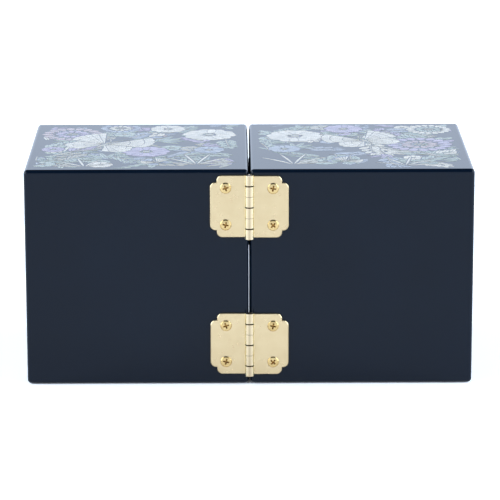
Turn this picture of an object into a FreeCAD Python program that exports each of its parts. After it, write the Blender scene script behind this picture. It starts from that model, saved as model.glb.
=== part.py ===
import FreeCAD, Part
import os

# A pair of black lacquered jewellery cubes, joined at the back by two brass surface hinges so that
# they swing apart like a book. Each cube is a case of glued panels with two lined drawers in front.
# Millimetres, +Z up. The hinged backs face -Y and the drawers open towards +Y. The hinge axis is at
# X = 0, and the origin is the centre of the whole footprint, on the surface that the pair stands on.
# Every piece is built for the right-hand cube, from its inner side face at x = 0 and its back face at
# y = 0, and is then moved to the right or mirrored to the left.

Vector = FreeCAD.Vector
X_AXIS = Vector(1, 0, 0)
Y_AXIS = Vector(0, 1, 0)
Z_AXIS = Vector(0, 0, 1)
LEFT, RIGHT = -1, 1
SIDE_NAMES = {LEFT: "left", RIGHT: "right"}
OVERCUT = 1.0               # how far a cutting tool runs past the face that it opens

# Cases
cube_width = 112.0
cube_depth = 115.0
cube_height = 110.7
cube_gap = 0.8              # between the two inner side faces when the pair is closed
edge_radius = 2.0           # lacquered outside edges
wall = 7.0                  # every case panel
rebate_lip = 4.0            # what is left of a panel outside the rebate at its edge
shelf_thickness = 6.0
shelf_setback = 1.0         # shelf edge behind the front rim
dado_depth = 2.5            # how deep the shelf sits in the side and back panels
rim_chamfer = 0.6           # inside edge of the front rim

# Felt under each case
felt_thickness = 1.0
felt_recess = 0.7           # let into the bottom, so that the case sits close to the table
felt_gap = 0.2
felt_inset = 5.0
felt_corner_radius = 4.0

# Drawers
tiers = ("lower", "upper")
drawer_reveal = 0.6         # gap round a drawer front
drawer_slide_gap = 0.3      # under the drawer sides
drawer_back_gap = 0.3
front_thickness = 10.0
front_setback = 0.5         # drawer front behind the front rim
front_edge_radius = 1.0
drawer_side_thickness = 5.0
drawer_side_drop = 7.0      # top of the drawer sides below the top of the bay
drawer_joint_depth = 5.0    # how far the sides run into the drawer front
drawer_back_rebate = 2.5    # how far the back runs into each side
drawer_bottom_thickness = 2.5
drawer_bottom_rise = 3.0    # from the sides' lower edge to the groove
drawer_groove_depth = 2.0

# Lining of each drawer
lining_thickness = 1.2
lining_top_gap = 1.5        # lining below the top of the drawer sides
pad_thickness = 4.0
pad_clearance = 0.3
pad_edge_radius = 1.5

# Turned knob and the machine screw that holds it from inside the drawer
knob_length = 11.0
knob_base_radius = 4.2
knob_base_thickness = 1.2
knob_neck_radius = 2.4
knob_neck_start = 2.4       # end of the taper from the base, from the drawer front
knob_neck_end = 4.8         # start of the flare up to the head
knob_head_radius = 5.0
knob_head_start = 7.6       # rim of the head
knob_rim_height = 1.2
knob_shoulder_radius = 4.2  # where the turned bevels of the head meet
knob_shoulder_drop = 0.9    # from there to the end of the knob
knob_end_radius = 2.2
knob_thread_radius = 1.5
knob_thread_depth = 7.0
knob_screw_head_radius = 2.8
knob_screw_head_height = 2.0
knob_screw_end_gap = 1.0    # screw tip short of the end of the knob's hole
counterbore_clearance = 0.3
thread_clearance = 0.03
shank_clearance = 0.2

# Hinges
hinge_height = 31.7         # of the leaves
barrel_rise = 0.3           # barrel beyond the leaves at each end
leaf_drop = 0.25            # end play that lets the right-hand leaf hang lower
leaf_reach = 19.6           # hinge axis to the leaf's outer edge
leaf_shoulder = 16.3        # hinge axis to the step in the leaf's corners
leaf_tab_height = 24.6      # height of the leaf outside that step
leaf_corner_radius = 2.8
leaf_thickness = 1.2
leaf_bevel = 0.3
knuckle_count = 6
knuckle_gap = 0.4           # between neighbouring knuckles
notch_reach = 2.25          # hinge axis to a leaf's edge behind the other leaf's knuckles
curl_slit = 0.2             # where a rolled knuckle ends above its own leaf
pin_radius = 1.05
pin_clearance = 0.05
pin_recess = 1.5            # pin end below the end of the barrel
upper_hinge_drop = 18.4     # top of the case to the upper hinge's centre
lower_hinge_rise = 21.3     # bottom of the case to the lower hinge's centre

# Countersunk wood screws of the hinges
screw_offset = 11.85        # hinge axis to a screw
screw_spacing = 18.8
screw_head_radius = 2.8
screw_head_rise = 0.7       # raised part of the head, tapering to the crown
screw_crown_radius = 1.9
screw_shank_radius = 1.6
screw_length = 7.0          # leaf surface to screw tip
screw_tip_length = 1.2
screw_clearance = 0.05
recess_length = 3.2
recess_width = 0.8
recess_depth = 1.3
recess_first_turn = 18.0    # degrees, of the first screw's cross recess
recess_turn_step = 31.0

# Worked out
knuckle_radius = pin_radius + pin_clearance + leaf_thickness
barrel_half = hinge_height / 2 + barrel_rise
back_y = (2 * knuckle_radius - cube_depth - knob_length + front_setback) / 2
case_floor = felt_thickness - felt_recess
case_top = case_floor + cube_height
bay_height = (cube_height - 2 * wall - shelf_thickness) / len(tiers)
drawer_x0 = wall + drawer_reveal
drawer_x1 = cube_width - drawer_x0
drawer_centre_x = cube_width / 2
drawer_rear_y = wall + drawer_back_gap
drawer_face_y = cube_depth - front_setback
drawer_front_y = drawer_face_y - front_thickness
drawer_side_height = bay_height - drawer_slide_gap - drawer_side_drop
tray_x0 = drawer_x0 + drawer_side_thickness
tray_x1 = drawer_x1 - drawer_side_thickness
tray_y0 = drawer_rear_y + drawer_side_thickness
tray_rise = drawer_bottom_rise + drawer_bottom_thickness
knob_seat_y = drawer_front_y + knob_screw_head_height + counterbore_clearance
hinge_axis_y = -knuckle_radius
hinge_centres = {"upper": case_top - upper_hinge_drop, "lower": case_floor + lower_hinge_rise}


def box(x0, x1, y0, y1, z0, z1):
    return Part.makeBox(x1 - x0, y1 - y0, z1 - z0, Vector(x0, y0, z0))


def rod(radius, x, z, y0, y1):
    """A cylinder along Y."""
    return Part.makeCylinder(radius, y1 - y0, Vector(x, y0, z), Y_AXIS)


def edges_where(shape, test):
    """The edges whose centre passes the test."""
    return [edge for edge in shape.Edges if test(edge.CenterOfMass)]


def is_close(a, b):
    return abs(a - b) < 1e-6


def placed(shape, side):
    """A piece built for the right-hand cube, moved to its place on the given side."""
    moved = shape.translated(Vector(cube_gap / 2, back_y, 0))
    if side == RIGHT:
        return moved
    return moved.mirror(Vector(0, 0, 0), X_AXIS)


def write(name, *shapes):
    """Writes one named part, which may hold several separate solids."""
    solids = [solid for shape in shapes for solid in shape.Solids]
    part = solids[0] if len(solids) == 1 else Part.makeCompound(solids)
    part.exportStep(f"parts/{name}.step")


# Case

def case_block():
    """The outside of one case as a single rounded block, from which the panels are cut."""
    block = box(0, cube_width, 0, cube_depth, case_floor, case_top)
    return block.makeFillet(edge_radius, block.Edges)


def bay_floor(tier):
    """Height of the surface on which a tier's drawer slides."""
    return case_floor + wall + tier * (bay_height + shelf_thickness)


def shelf():
    """Divider between the drawers, let into dados in both sides and the back."""
    z0 = bay_floor(1) - shelf_thickness
    return box(
        wall - dado_depth, cube_width - wall + dado_depth,
        wall - dado_depth, cube_depth - shelf_setback,
        z0, z0 + shelf_thickness)


def horizontal_panel(block, z_outer, z_inner):
    """Top or bottom panel: a full-size lip, and a core that drops in between the walls."""
    up = 1 if z_inner > z_outer else -1
    z_lip = z_outer + up * rebate_lip
    lip = box(0, cube_width, 0, cube_depth, min(z_outer, z_lip), max(z_outer, z_lip))
    core = box(wall, cube_width - wall, wall, cube_depth, min(z_lip, z_inner), max(z_lip, z_inner))
    return block.common(lip.fuse(core)).removeSplitter()


def side_panel(block, x_outer, x_inner, divider):
    """Side panel between the two lips, rebated for the back panel and grooved for the shelf."""
    inward = 1 if x_inner > x_outer else -1
    x_lip = x_outer + inward * rebate_lip
    slab = box(
        min(x_outer, x_inner), max(x_outer, x_inner), 0, cube_depth,
        case_floor + rebate_lip, case_top - rebate_lip)
    rebate = box(
        min(x_lip, x_inner), max(x_lip, x_inner), 0, wall,
        case_floor + rebate_lip, case_top - rebate_lip)
    return block.common(slab.cut(rebate)).cut(divider)


def back_panel(block, divider, side):
    """Back panel, held in the rebates of its four neighbours and bored for the hinge screws."""
    slab = box(
        rebate_lip, cube_width - rebate_lip, 0, wall,
        case_floor + rebate_lip, case_top - rebate_lip)
    panel = block.common(slab).cut(divider)
    for centre_z in hinge_centres.values():
        for z in screw_heights(leaf_centre(side, centre_z)):
            panel = panel.cut(screw_hole(screw_offset - cube_gap / 2, z))
    return panel


def rim_flare():
    """The flared mouth that breaks the inside edge of the front rim."""
    frames = []
    for spread in (0, rim_chamfer):
        x0, x1 = wall - spread, cube_width - wall + spread
        z0, z1 = case_floor + wall - spread, case_top - wall + spread
        y = cube_depth - rim_chamfer + spread
        corners = [Vector(x0, y, z0), Vector(x1, y, z0), Vector(x1, y, z1), Vector(x0, y, z1)]
        frames.append(Part.makePolygon(corners + corners[:1]))
    return Part.makeLoft(frames, True)


def felt_shape(gap):
    """The felt's outline with a gap round it, from the table to its upper face."""
    inset = felt_inset - gap
    sheet = box(inset, cube_width - inset, inset, cube_depth - inset, 0, felt_thickness)
    upright = edges_where(sheet, lambda c: is_close(c.z, felt_thickness / 2))
    return sheet.makeFillet(felt_corner_radius + gap, upright)


def write_case(side):
    name = SIDE_NAMES[side]
    block = case_block().cut(rim_flare())
    divider = shelf()
    top = horizontal_panel(block, case_top, case_top - wall)
    bottom = horizontal_panel(block, case_floor, case_floor + wall).cut(felt_shape(felt_gap))
    inner_side = side_panel(block, 0, wall, divider)
    outer_side = side_panel(block, cube_width, cube_width - wall, divider)
    write(f"{name}_top_panel", placed(top, side))
    write(f"{name}_bottom_panel", placed(bottom, side))
    write(f"{name}_inner_side", placed(inner_side, side))
    write(f"{name}_outer_side", placed(outer_side, side))
    write(f"{name}_back_panel", placed(back_panel(block, divider, side), side))
    write(f"{name}_drawer_shelf", placed(divider, side))
    write(f"{name}_base_felt", placed(felt_shape(0), side))


# Drawers, each built with its sides' lower edge at z0

def drawer_bottom(z0):
    """Thin bottom in grooves of the sides and front, running out under the back."""
    z = z0 + drawer_bottom_rise
    return box(
        tray_x0 - drawer_groove_depth, tray_x1 + drawer_groove_depth,
        drawer_rear_y, drawer_front_y + drawer_groove_depth,
        z, z + drawer_bottom_thickness)


def drawer_side(z0, bottom, x_tray, x_outer):
    """One side: it laps into the front, is rebated for the back and grooved for the bottom."""
    outward = 1 if x_outer > x_tray else -1
    x_rebate = x_tray + outward * drawer_back_rebate
    board = box(
        min(x_tray, x_outer), max(x_tray, x_outer),
        drawer_rear_y, drawer_front_y + drawer_joint_depth,
        z0, z0 + drawer_side_height)
    rebate = box(
        min(x_rebate, x_tray), max(x_rebate, x_tray),
        drawer_rear_y, tray_y0, z0, z0 + drawer_side_height)
    return board.cut(rebate).cut(bottom)


def drawer_back(z0):
    """Back, standing on the bottom between the sides' rebates."""
    return box(
        tray_x0 - drawer_back_rebate, tray_x1 + drawer_back_rebate,
        drawer_rear_y, tray_y0, z0 + tray_rise, z0 + drawer_side_height)


def drawer_front(z0, bottom, centre_z):
    """Lacquered front with rounded face edges, cut for the sides, the bottom and the knob screw."""
    half = bay_height / 2 - drawer_reveal
    front = box(
        drawer_x0, drawer_x1, drawer_front_y, drawer_face_y, centre_z - half, centre_z + half)
    face_edges = edges_where(front, lambda c: is_close(c.y, drawer_face_y))
    front = front.makeFillet(front_edge_radius, face_edges)
    for x0, x1 in ((drawer_x0, tray_x0), (tray_x1, drawer_x1)):
        front = front.cut(box(
            x0, x1, drawer_front_y, drawer_front_y + drawer_joint_depth,
            z0, z0 + drawer_side_height))
    counterbore = rod(
        knob_screw_head_radius + counterbore_clearance, drawer_centre_x, centre_z,
        drawer_front_y - OVERCUT, knob_seat_y)
    hole = rod(
        knob_thread_radius + shank_clearance, drawer_centre_x, centre_z,
        knob_seat_y - OVERCUT, drawer_face_y + OVERCUT)
    return front.cut([bottom, counterbore, hole])


def drawer_lining(z0):
    """Velvet-covered tray that lines the drawer."""
    floor = z0 + tray_rise
    top = z0 + drawer_side_height - lining_top_gap
    tray = box(tray_x0, tray_x1, tray_y0, drawer_front_y, floor, top)
    hollow = box(
        tray_x0 + lining_thickness, tray_x1 - lining_thickness,
        tray_y0 + lining_thickness, drawer_front_y - lining_thickness,
        floor + lining_thickness, top + OVERCUT)
    return tray.cut(hollow)


def drawer_pad(z0):
    """Loose padded velvet floor, rounded over along its top edges."""
    inset = lining_thickness + pad_clearance
    floor = z0 + tray_rise + lining_thickness
    pad = box(
        tray_x0 + inset, tray_x1 - inset, tray_y0 + inset, drawer_front_y - inset,
        floor, floor + pad_thickness)
    rounded = edges_where(pad, lambda c: is_close(c.z, floor + pad_thickness))
    return pad.makeFillet(pad_edge_radius, rounded)


def turned(outline, x, y, z):
    """A solid turned about Y, from radius and height pairs that start and end on the axis."""
    corners = [Vector(radius, height, 0) for radius, height in outline]
    face = Part.Face(Part.makePolygon(corners + corners[:1]))
    solid = face.revolve(Vector(0, 0, 0), Y_AXIS, 360)
    solid.translate(Vector(x, y, z))
    return solid


def knob(centre_z):
    """Turned knob: a flat base, a waisted neck and a bevelled head, with a blind threaded hole."""
    shape = turned(
        [
            (0, 0), (knob_base_radius, 0), (knob_base_radius, knob_base_thickness),
            (knob_neck_radius, knob_neck_start), (knob_neck_radius, knob_neck_end),
            (knob_head_radius, knob_head_start),
            (knob_head_radius, knob_head_start + knob_rim_height),
            (knob_shoulder_radius, knob_length - knob_shoulder_drop),
            (knob_end_radius, knob_length), (0, knob_length)],
        drawer_centre_x, drawer_face_y, centre_z)
    hole = rod(
        knob_thread_radius, drawer_centre_x, centre_z,
        drawer_face_y - OVERCUT, drawer_face_y + knob_thread_depth)
    return shape.cut(hole)


def knob_screw(centre_z):
    """Pan-head screw from the counterbore through the front into the knob."""
    head = rod(
        knob_screw_head_radius, drawer_centre_x, centre_z,
        knob_seat_y - knob_screw_head_height, knob_seat_y)
    shank = rod(
        knob_thread_radius - thread_clearance, drawer_centre_x, centre_z,
        knob_seat_y, drawer_face_y + knob_thread_depth - knob_screw_end_gap)
    return head.fuse(shank).removeSplitter()


def write_drawer(side, tier):
    name = f"{SIDE_NAMES[side]}_{tiers[tier]}"
    z0 = bay_floor(tier) + drawer_slide_gap
    centre_z = bay_floor(tier) + bay_height / 2
    bottom = drawer_bottom(z0)
    inner_side = drawer_side(z0, bottom, tray_x0, drawer_x0)
    outer_side = drawer_side(z0, bottom, tray_x1, drawer_x1)
    write(f"{name}_drawer_front", placed(drawer_front(z0, bottom, centre_z), side))
    write(f"{name}_drawer_inner_side", placed(inner_side, side))
    write(f"{name}_drawer_outer_side", placed(outer_side, side))
    write(f"{name}_drawer_back", placed(drawer_back(z0), side))
    write(f"{name}_drawer_bottom", placed(bottom, side))
    write(f"{name}_drawer_lining", placed(drawer_lining(z0), side))
    write(f"{name}_drawer_pad", placed(drawer_pad(z0), side))
    write(f"{name}_knob", placed(knob(centre_z), side))
    write(f"{name}_knob_screw", placed(knob_screw(centre_z), side))


# Hinges, built for the right-hand leaf with the hinge axis at x = 0 and the case's back face at y = 0

def leaf_centre(side, centre_z):
    """Height of a leaf's centre, below the hinge's own where the leaf hangs by its end play."""
    return centre_z - (leaf_drop if side == RIGHT else 0)


def screw_heights(centre_z):
    """Heights of the two screws in one leaf."""
    return centre_z - screw_spacing / 2, centre_z + screw_spacing / 2


def screw_profile(clearance):
    """Head cone and shank of a hinge screw along -Y, grown by the clearance."""
    head = screw_head_radius + clearance
    shank = screw_shank_radius + clearance
    cone_length = head - shank
    return head, shank, cone_length


def screw_hole(x, z):
    """Countersunk clearance hole, from the leaf's surface into the back panel."""
    head, shank, cone_length = screw_profile(screw_clearance)
    surface = -leaf_thickness
    cone = Part.makeCone(head, shank, cone_length, Vector(x, surface, z), Y_AXIS)
    mouth = rod(head, x, z, surface - OVERCUT, surface)
    hole = rod(shank, x, z, surface, surface + screw_length + screw_clearance)
    return mouth.fuse([cone, hole])


def hinge_screw(x, z, turn):
    """Raised countersunk wood screw with a cross recess, turned as it was left by the driver."""
    head, shank, cone_length = screw_profile(0)
    screw = turned(
        [
            (0, -screw_head_rise), (screw_crown_radius, -screw_head_rise), (head, 0),
            (shank, cone_length), (shank, screw_length - screw_tip_length), (0, screw_length)],
        0, 0, 0)
    for quarter in (0, 90):
        slot = box(
            -recess_length / 2, recess_length / 2,
            -screw_head_rise - OVERCUT, recess_depth - screw_head_rise,
            -recess_width / 2, recess_width / 2)
        slot.rotate(Vector(0, 0, 0), Y_AXIS, quarter)
        screw = screw.cut(slot)
    screw.rotate(Vector(0, 0, 0), Y_AXIS, turn)
    screw.translate(Vector(x, -leaf_thickness, z))
    return screw


def leaf_outline():
    """Flat leaf with stepped corners, each step rounded, from the hinge axis outwards."""
    half, tab = hinge_height / 2, leaf_tab_height / 2
    plate = box(0, leaf_shoulder, -leaf_thickness, 0, -half, half)
    tongue = box(0, leaf_reach, -leaf_thickness, 0, -tab, tab)
    rounded = []
    for board, x in ((plate, leaf_shoulder), (tongue, leaf_reach)):
        corners = edges_where(
            board, lambda c: is_close(c.x, x) and is_close(c.y, -leaf_thickness / 2))
        rounded.append(board.makeFillet(leaf_corner_radius, corners))
    leaf = rounded[0].fuse(rounded[1]).removeSplitter()
    bevelled = edges_where(leaf, lambda c: is_close(c.y, -leaf_thickness) and c.x > leaf_bevel)
    return leaf.makeChamfer(leaf_bevel, bevelled)


def knuckle_span(index):
    """Lower and upper end of a knuckle, counted from the top of the barrel."""
    pitch = (2 * barrel_half + knuckle_gap) / knuckle_count
    top = barrel_half - index * pitch
    return top - pitch + knuckle_gap, top


def barrel(radius, z0, z1):
    return Part.makeCylinder(radius, z1 - z0, Vector(0, hinge_axis_y, z0), Z_AXIS)


def hinge_leaf(side, centre_z):
    """One leaf of sheet brass, rolled into every second knuckle and open between them."""
    own = 0 if side == LEFT else 1
    leaf = leaf_outline()
    bore = pin_radius + pin_clearance
    for index in range(knuckle_count):
        z0, z1 = knuckle_span(index)
        if index % 2 == own:
            slit = box(
                0, knuckle_radius + OVERCUT,
                -leaf_thickness - curl_slit, -leaf_thickness, z0, z1)
            leaf = leaf.fuse(barrel(knuckle_radius, z0, z1).cut(slit))
        else:
            leaf = leaf.cut(box(
                -OVERCUT, notch_reach, -leaf_thickness - OVERCUT, OVERCUT,
                z0 - knuckle_gap, z1 + knuckle_gap))
    leaf = leaf.cut(barrel(bore, -barrel_half - OVERCUT, barrel_half + OVERCUT)).removeSplitter()
    height = leaf_centre(side, centre_z)
    leaf.translate(Vector(0, 0, height))
    for z in screw_heights(height):
        leaf = leaf.cut(screw_hole(screw_offset, z))
    return leaf


def hinge_pin(centre_z):
    half = barrel_half - pin_recess
    return barrel(pin_radius, centre_z - half, centre_z + half)


def at_axis(shape, side):
    """A hinge piece moved to the hinge axis, mirrored for the left-hand leaf."""
    moved = shape.translated(Vector(0, back_y, 0))
    return moved if side == RIGHT else moved.mirror(Vector(0, 0, 0), X_AXIS)


def write_hinge(name, centre_z):
    for side in (LEFT, RIGHT):
        side_name = SIDE_NAMES[side]
        write(f"{name}_hinge_{side_name}_leaf", at_axis(hinge_leaf(side, centre_z), side))
        screws = [
            hinge_screw(screw_offset, z, recess_first_turn + recess_turn_step * (number + side))
            for number, z in enumerate(screw_heights(leaf_centre(side, centre_z)))]
        write(f"{name}_hinge_{side_name}_screws", *[at_axis(s, side) for s in screws])
    write(f"{name}_hinge_pin", at_axis(hinge_pin(centre_z), RIGHT))


def main():
    os.makedirs("parts", exist_ok=True)
    for side in (LEFT, RIGHT):
        write_case(side)
        for tier in range(len(tiers)):
            write_drawer(side, tier)
    for name, centre_z in hinge_centres.items():
        write_hinge(name, centre_z)


main()
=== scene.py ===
"""Visual model of the twin-cube lacquered jewelry box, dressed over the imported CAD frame.

Two black lacquered cubes hinge together at the back. Shell inlay covers their tops and drawer
fronts, and the drawers are lined with velvet. Lengths are metres in the row frame unless a name or
comment says millimetres.
"""

import cmath
import logging
import math
import random
from dataclasses import dataclass
from enum import Enum
from typing import Callable, Iterable, Sequence, Union

import bmesh
import bpy
from mathutils import Matrix, Vector
from mathutils.geometry import convex_hull_2d, delaunay_2d_cdt


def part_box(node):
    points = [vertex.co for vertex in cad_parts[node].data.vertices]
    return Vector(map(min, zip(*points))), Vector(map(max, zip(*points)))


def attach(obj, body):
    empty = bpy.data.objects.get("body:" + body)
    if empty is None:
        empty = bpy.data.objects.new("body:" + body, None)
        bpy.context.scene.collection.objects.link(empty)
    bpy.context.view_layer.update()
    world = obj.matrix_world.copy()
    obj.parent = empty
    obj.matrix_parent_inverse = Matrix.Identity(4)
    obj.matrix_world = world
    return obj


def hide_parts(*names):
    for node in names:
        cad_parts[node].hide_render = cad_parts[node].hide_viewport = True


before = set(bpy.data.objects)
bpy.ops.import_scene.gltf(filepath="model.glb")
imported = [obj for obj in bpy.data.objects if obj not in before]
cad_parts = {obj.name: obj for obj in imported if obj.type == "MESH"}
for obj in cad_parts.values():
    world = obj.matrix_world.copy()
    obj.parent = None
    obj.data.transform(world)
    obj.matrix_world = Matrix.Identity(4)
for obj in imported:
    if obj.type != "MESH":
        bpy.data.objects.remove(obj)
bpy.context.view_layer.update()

LOG = logging.getLogger("jewelry_box")
MM = 0.001
X_AXIS = Vector((1, 0, 0))
Y_AXIS = Vector((0, 1, 0))
Z_AXIS = Vector((0, 0, 1))

# Sockets of the Mix node, which carries one set for each kind of value
MIX_FACTOR, MIX_FIRST, MIX_SECOND, MIX_COLOUR = 0, 6, 7, 2
# Bands that the Wave node draws in a unit of its scaled coordinates
WAVES_PER_UNIT = 6.3

Socket = bpy.types.NodeSocket
Colour = tuple[float, float, float, float]
Value = Union[Socket, Colour, float, Vector, tuple]


class Side(Enum):
    """The two cubes, as the photo's camera sees them."""

    LEFT = -1
    RIGHT = 1

    @property
    def label(self) -> str:
        """The side's name in the frame."""
        return self.name.lower()

    @property
    def body(self) -> str:
        """The case's body in the frame."""
        return f"{self.label}_cube"


class Tier(Enum):
    """The two drawers of a cube, one above the other."""

    LOWER = 0
    UPPER = 1

    @property
    def label(self) -> str:
        """The tier's name in the frame."""
        return self.name.lower()


class Tone(Enum):
    """Shades that pieces of shell are sorted into."""

    PEARL = 0
    LILAC = 1
    ROSE = 2
    TEAL = 3
    BLUE = 4
    GOLD = 5


def linear(code: str) -> Colour:
    """Turns an sRGB hex colour into a linear one.

    Args:
        code: the colour, such as "#28303A".

    Returns:
        Red, green, blue and a full alpha.
    """
    channels = [int(code[i:i + 2], 16) / 255 for i in (1, 3, 5)]
    r, g, b = [c / 12.92 if c <= 0.04045 else ((c + 0.055) / 1.055) ** 2.4 for c in channels]
    return r, g, b, 1.0


def repeats(millimetres: float) -> float:
    """Texture scale, in object coordinates, of a pattern with that spacing."""
    return 1 / (millimetres * MM)


def add_node(
    tree: bpy.types.NodeTree,
    kind: str,
    inputs: dict[Union[str, int], Value] | None = None,
    **settings: Union[str, float, bool],
) -> bpy.types.Node:
    """Adds one node with its settings and links.

    Args:
        tree: the node tree to add to.
        kind: Blender's name for the type of node, without the "ShaderNode" in front.
        inputs: for each input, by name or number, a constant or the output that feeds it.
        **settings: properties of the node itself.

    Returns:
        The new node.
    """
    node = tree.nodes.new("ShaderNode" + kind)
    for name, value in settings.items():
        setattr(node, name, value)
    for name, value in (inputs or {}).items():
        if isinstance(value, Socket):
            tree.links.new(value, node.inputs[name])
        else:
            node.inputs[name].default_value = value
    return node


# Finishes

@dataclass(frozen=True)
class Finish:
    """A real material and how its surface was made. Each becomes one Blender material."""

    title: str

    def material(self) -> bpy.types.Material:
        """The Blender material, made on first use.

        Returns:
            The material, shared by every piece with this finish.
        """
        made = bpy.data.materials.get(self.title)
        if made is not None:
            return made
        made = bpy.data.materials.new(self.title)
        made.use_nodes = True
        tree = made.node_tree
        tree.nodes.clear()
        place = add_node(tree, "TexCoord").outputs["Object"]
        shader = add_node(tree, "BsdfPrincipled", self.surface(tree, place))
        add_node(tree, "OutputMaterial", {"Surface": shader.outputs["BSDF"]})
        return made

    def surface(self, tree: bpy.types.NodeTree, place: Socket) -> dict[str, Value]:
        """What the shader is given.

        Args:
            tree: the material's node tree.
            place: object coordinates.

        Returns:
            The shader's inputs, by name.
        """
        raise NotImplementedError

    @staticmethod
    def noise(
        tree: bpy.types.NodeTree, place: Socket, size_mm: float, detail: float = 2.0,
        warp: float = 0.0,
    ) -> Socket:
        """Cloudy variation between 0 and 1.

        Args:
            tree: the node tree.
            place: coordinates to read.
            size_mm: how wide one cloud is.
            detail: how much finer variation it carries.
            warp: how strongly it is pulled out of shape.

        Returns:
            The noise's value.
        """
        made = add_node(
            tree, "TexNoise",
            {"Vector": place, "Scale": repeats(size_mm), "Detail": detail, "Distortion": warp})
        return made.outputs["Fac"]

    @staticmethod
    def spread(
        tree: bpy.types.NodeTree, value: Socket, low: float, high: float,
        start: float = 0.0, end: float = 1.0,
    ) -> Socket:
        """Stretches the part of a value from low to high over start to end."""
        inputs = {"Value": value, "From Min": low, "From Max": high, "To Min": start, "To Max": end}
        return add_node(tree, "MapRange", inputs).outputs["Result"]

    @staticmethod
    def blend(
        tree: bpy.types.NodeTree, share: Value, first: Value, second: Value, how: str = "MIX"
    ) -> Socket:
        """Mixes two colours.

        Args:
            tree: the node tree.
            share: how much of the second colour is in the mixture.
            first: the colour at a share of 0.
            second: the colour at a share of 1.
            how: Blender's name for the way to mix.

        Returns:
            The mixed colour.
        """
        inputs = {MIX_FACTOR: share, MIX_FIRST: first, MIX_SECOND: second}
        mixed = add_node(tree, "Mix", inputs, data_type="RGBA", blend_type=how)
        return mixed.outputs[MIX_COLOUR]

    @staticmethod
    def relief(
        tree: bpy.types.NodeTree, height: Socket, depth_mm: float, strength: float = 1.0
    ) -> Socket:
        """Surface normals of a relief of that depth."""
        inputs = {"Height": height, "Distance": depth_mm * MM, "Strength": strength}
        return add_node(tree, "Bump", inputs).outputs["Normal"]

    @staticmethod
    def stretched(
        tree: bpy.types.NodeTree, place: Socket, scale: tuple[float, float, float]
    ) -> Socket:
        """Coordinates multiplied along each axis, for a pattern that runs one way."""
        inputs = {0: place, 1: scale}
        return add_node(tree, "VectorMath", inputs, operation="MULTIPLY").outputs[0]


@dataclass(frozen=True)
class PolyesterLacquer(Finish):
    """Black polyester lacquer over wood, sprayed thick, sanded and buffed to a mirror."""

    # The eye gets a blue-black mirror that is dark face on and turns pale at a glance, with a trace
    # of orange peel and a few dust nibs.
    title: str = "polyester_lacquer_buffed_black"
    body: str = "#040C17"
    depth: str = "#06111E"
    nib: str = "#3A424C"
    ior: float = 1.5
    shine: float = 0.17
    gloss: tuple[float, float] = (0.035, 0.075)
    peel_mm: float = 3.2
    peel_depth_mm: float = 0.0012
    nib_spacing_mm: float = 7.0
    nib_size: float = 0.018

    def surface(self, tree: bpy.types.NodeTree, place: Socket) -> dict[str, Value]:
        """Deep black with cloudy depth, orange peel and dust nibs.

        Args:
            tree: the material's node tree.
            place: object coordinates.

        Returns:
            The shader's inputs, by name.
        """
        clouds = self.noise(tree, place, 38.0)
        colour = self.blend(tree, clouds, linear(self.body), linear(self.depth))
        cells = add_node(
            tree, "TexVoronoi", {"Vector": place, "Scale": repeats(self.nib_spacing_mm)})
        nibs = self.spread(tree, cells.outputs["Distance"], self.nib_size, self.nib_size / 2)
        colour = self.blend(tree, nibs, colour, linear(self.nib))
        rubbed = self.noise(tree, place, 17.0, 4.0)
        peel = self.noise(tree, place, self.peel_mm, 1.0)
        return {
            "Base Color": colour,
            "Roughness": self.spread(tree, rubbed, 0.3, 0.7, *self.gloss),
            "IOR": self.ior,
            "Specular IOR Level": self.shine,
            "Normal": self.relief(tree, peel, self.peel_depth_mm)}


@dataclass(frozen=True)
class LacqueredShell(Finish):
    """Abalone and mother-of-pearl leaf, sawn to shape, glued in and lacquered over."""

    # The eye gets a pearly sheet whose colour drifts from cut to cut, with fine growth lines and
    # painted glints, under the same mirror as the lacquer round it.
    title: str = "shell_lacquered"
    main: str = "#CABDA6"
    drift: str = "#B3AD9C"
    # Painted glint: a brighter colour painted in patches, standing in for the shell's shimmer
    painted_glint: str = "#EDE2CF"
    drift_mm: float = 6.0
    growth_mm: float = 0.55     # real growth lines are finer, and wouldn't show
    growth_shade: float = 0.86  # how dark a growth line is
    cut_shade: float = 0.8      # how dark the darkest cut is

    def surface(self, tree: bpy.types.NodeTree, place: Socket) -> dict[str, Value]:
        """Drifting colours, painted glints, a tone of its own for each cut, and growth lines.

        Args:
            tree: the material's node tree.
            place: object coordinates.

        Returns:
            The shader's inputs, by name.
        """
        cut = add_node(tree, "Attribute", attribute_name="cut").outputs["Fac"]
        jump = add_node(tree, "VectorMath", {0: place, 1: (0.0, 0.0, 0.0)}, operation="ADD")
        shift = add_node(tree, "CombineXYZ", {"X": cut, "Y": cut, "Z": cut})
        tree.links.new(shift.outputs["Vector"], jump.inputs[1])
        there = jump.outputs[0]
        clouds = self.spread(tree, self.noise(tree, there, self.drift_mm, 3.0, 1.4), 0.34, 0.66)
        colour = self.blend(tree, clouds, linear(self.main), linear(self.drift))
        # Painted glints: brighter patches painted into the colour
        painted_glint_patches = self.spread(tree, self.noise(tree, there, self.drift_mm / 3, 2.0, 2.0), 0.55, 0.75)
        colour = self.blend(tree, painted_glint_patches, colour, linear(self.painted_glint))
        lines = add_node(
            tree, "TexWave",
            {"Vector": there, "Scale": repeats(self.growth_mm) / WAVES_PER_UNIT, "Distortion": 6.0,
             "Detail": 2.0, "Detail Scale": 0.6})
        shade = self.spread(tree, lines.outputs["Fac"], 0.0, 1.0, self.growth_shade, 1.0)
        tint = self.spread(tree, cut, 0.0, 1.0, self.cut_shade, 1.0)
        level = add_node(tree, "Math", {0: shade, 1: tint}, operation="MULTIPLY").outputs[0]
        grey = add_node(tree, "CombineColor", {"Red": level, "Green": level, "Blue": level})
        return {
            "Base Color": self.blend(tree, 1.0, colour, grey.outputs["Color"], "MULTIPLY"),
            "Metallic": 0.12,
            "Roughness": self.spread(tree, clouds, 0.0, 1.0, 0.06, 0.14),
            "IOR": 1.5,
            "Specular IOR Level": 0.4}


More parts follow.
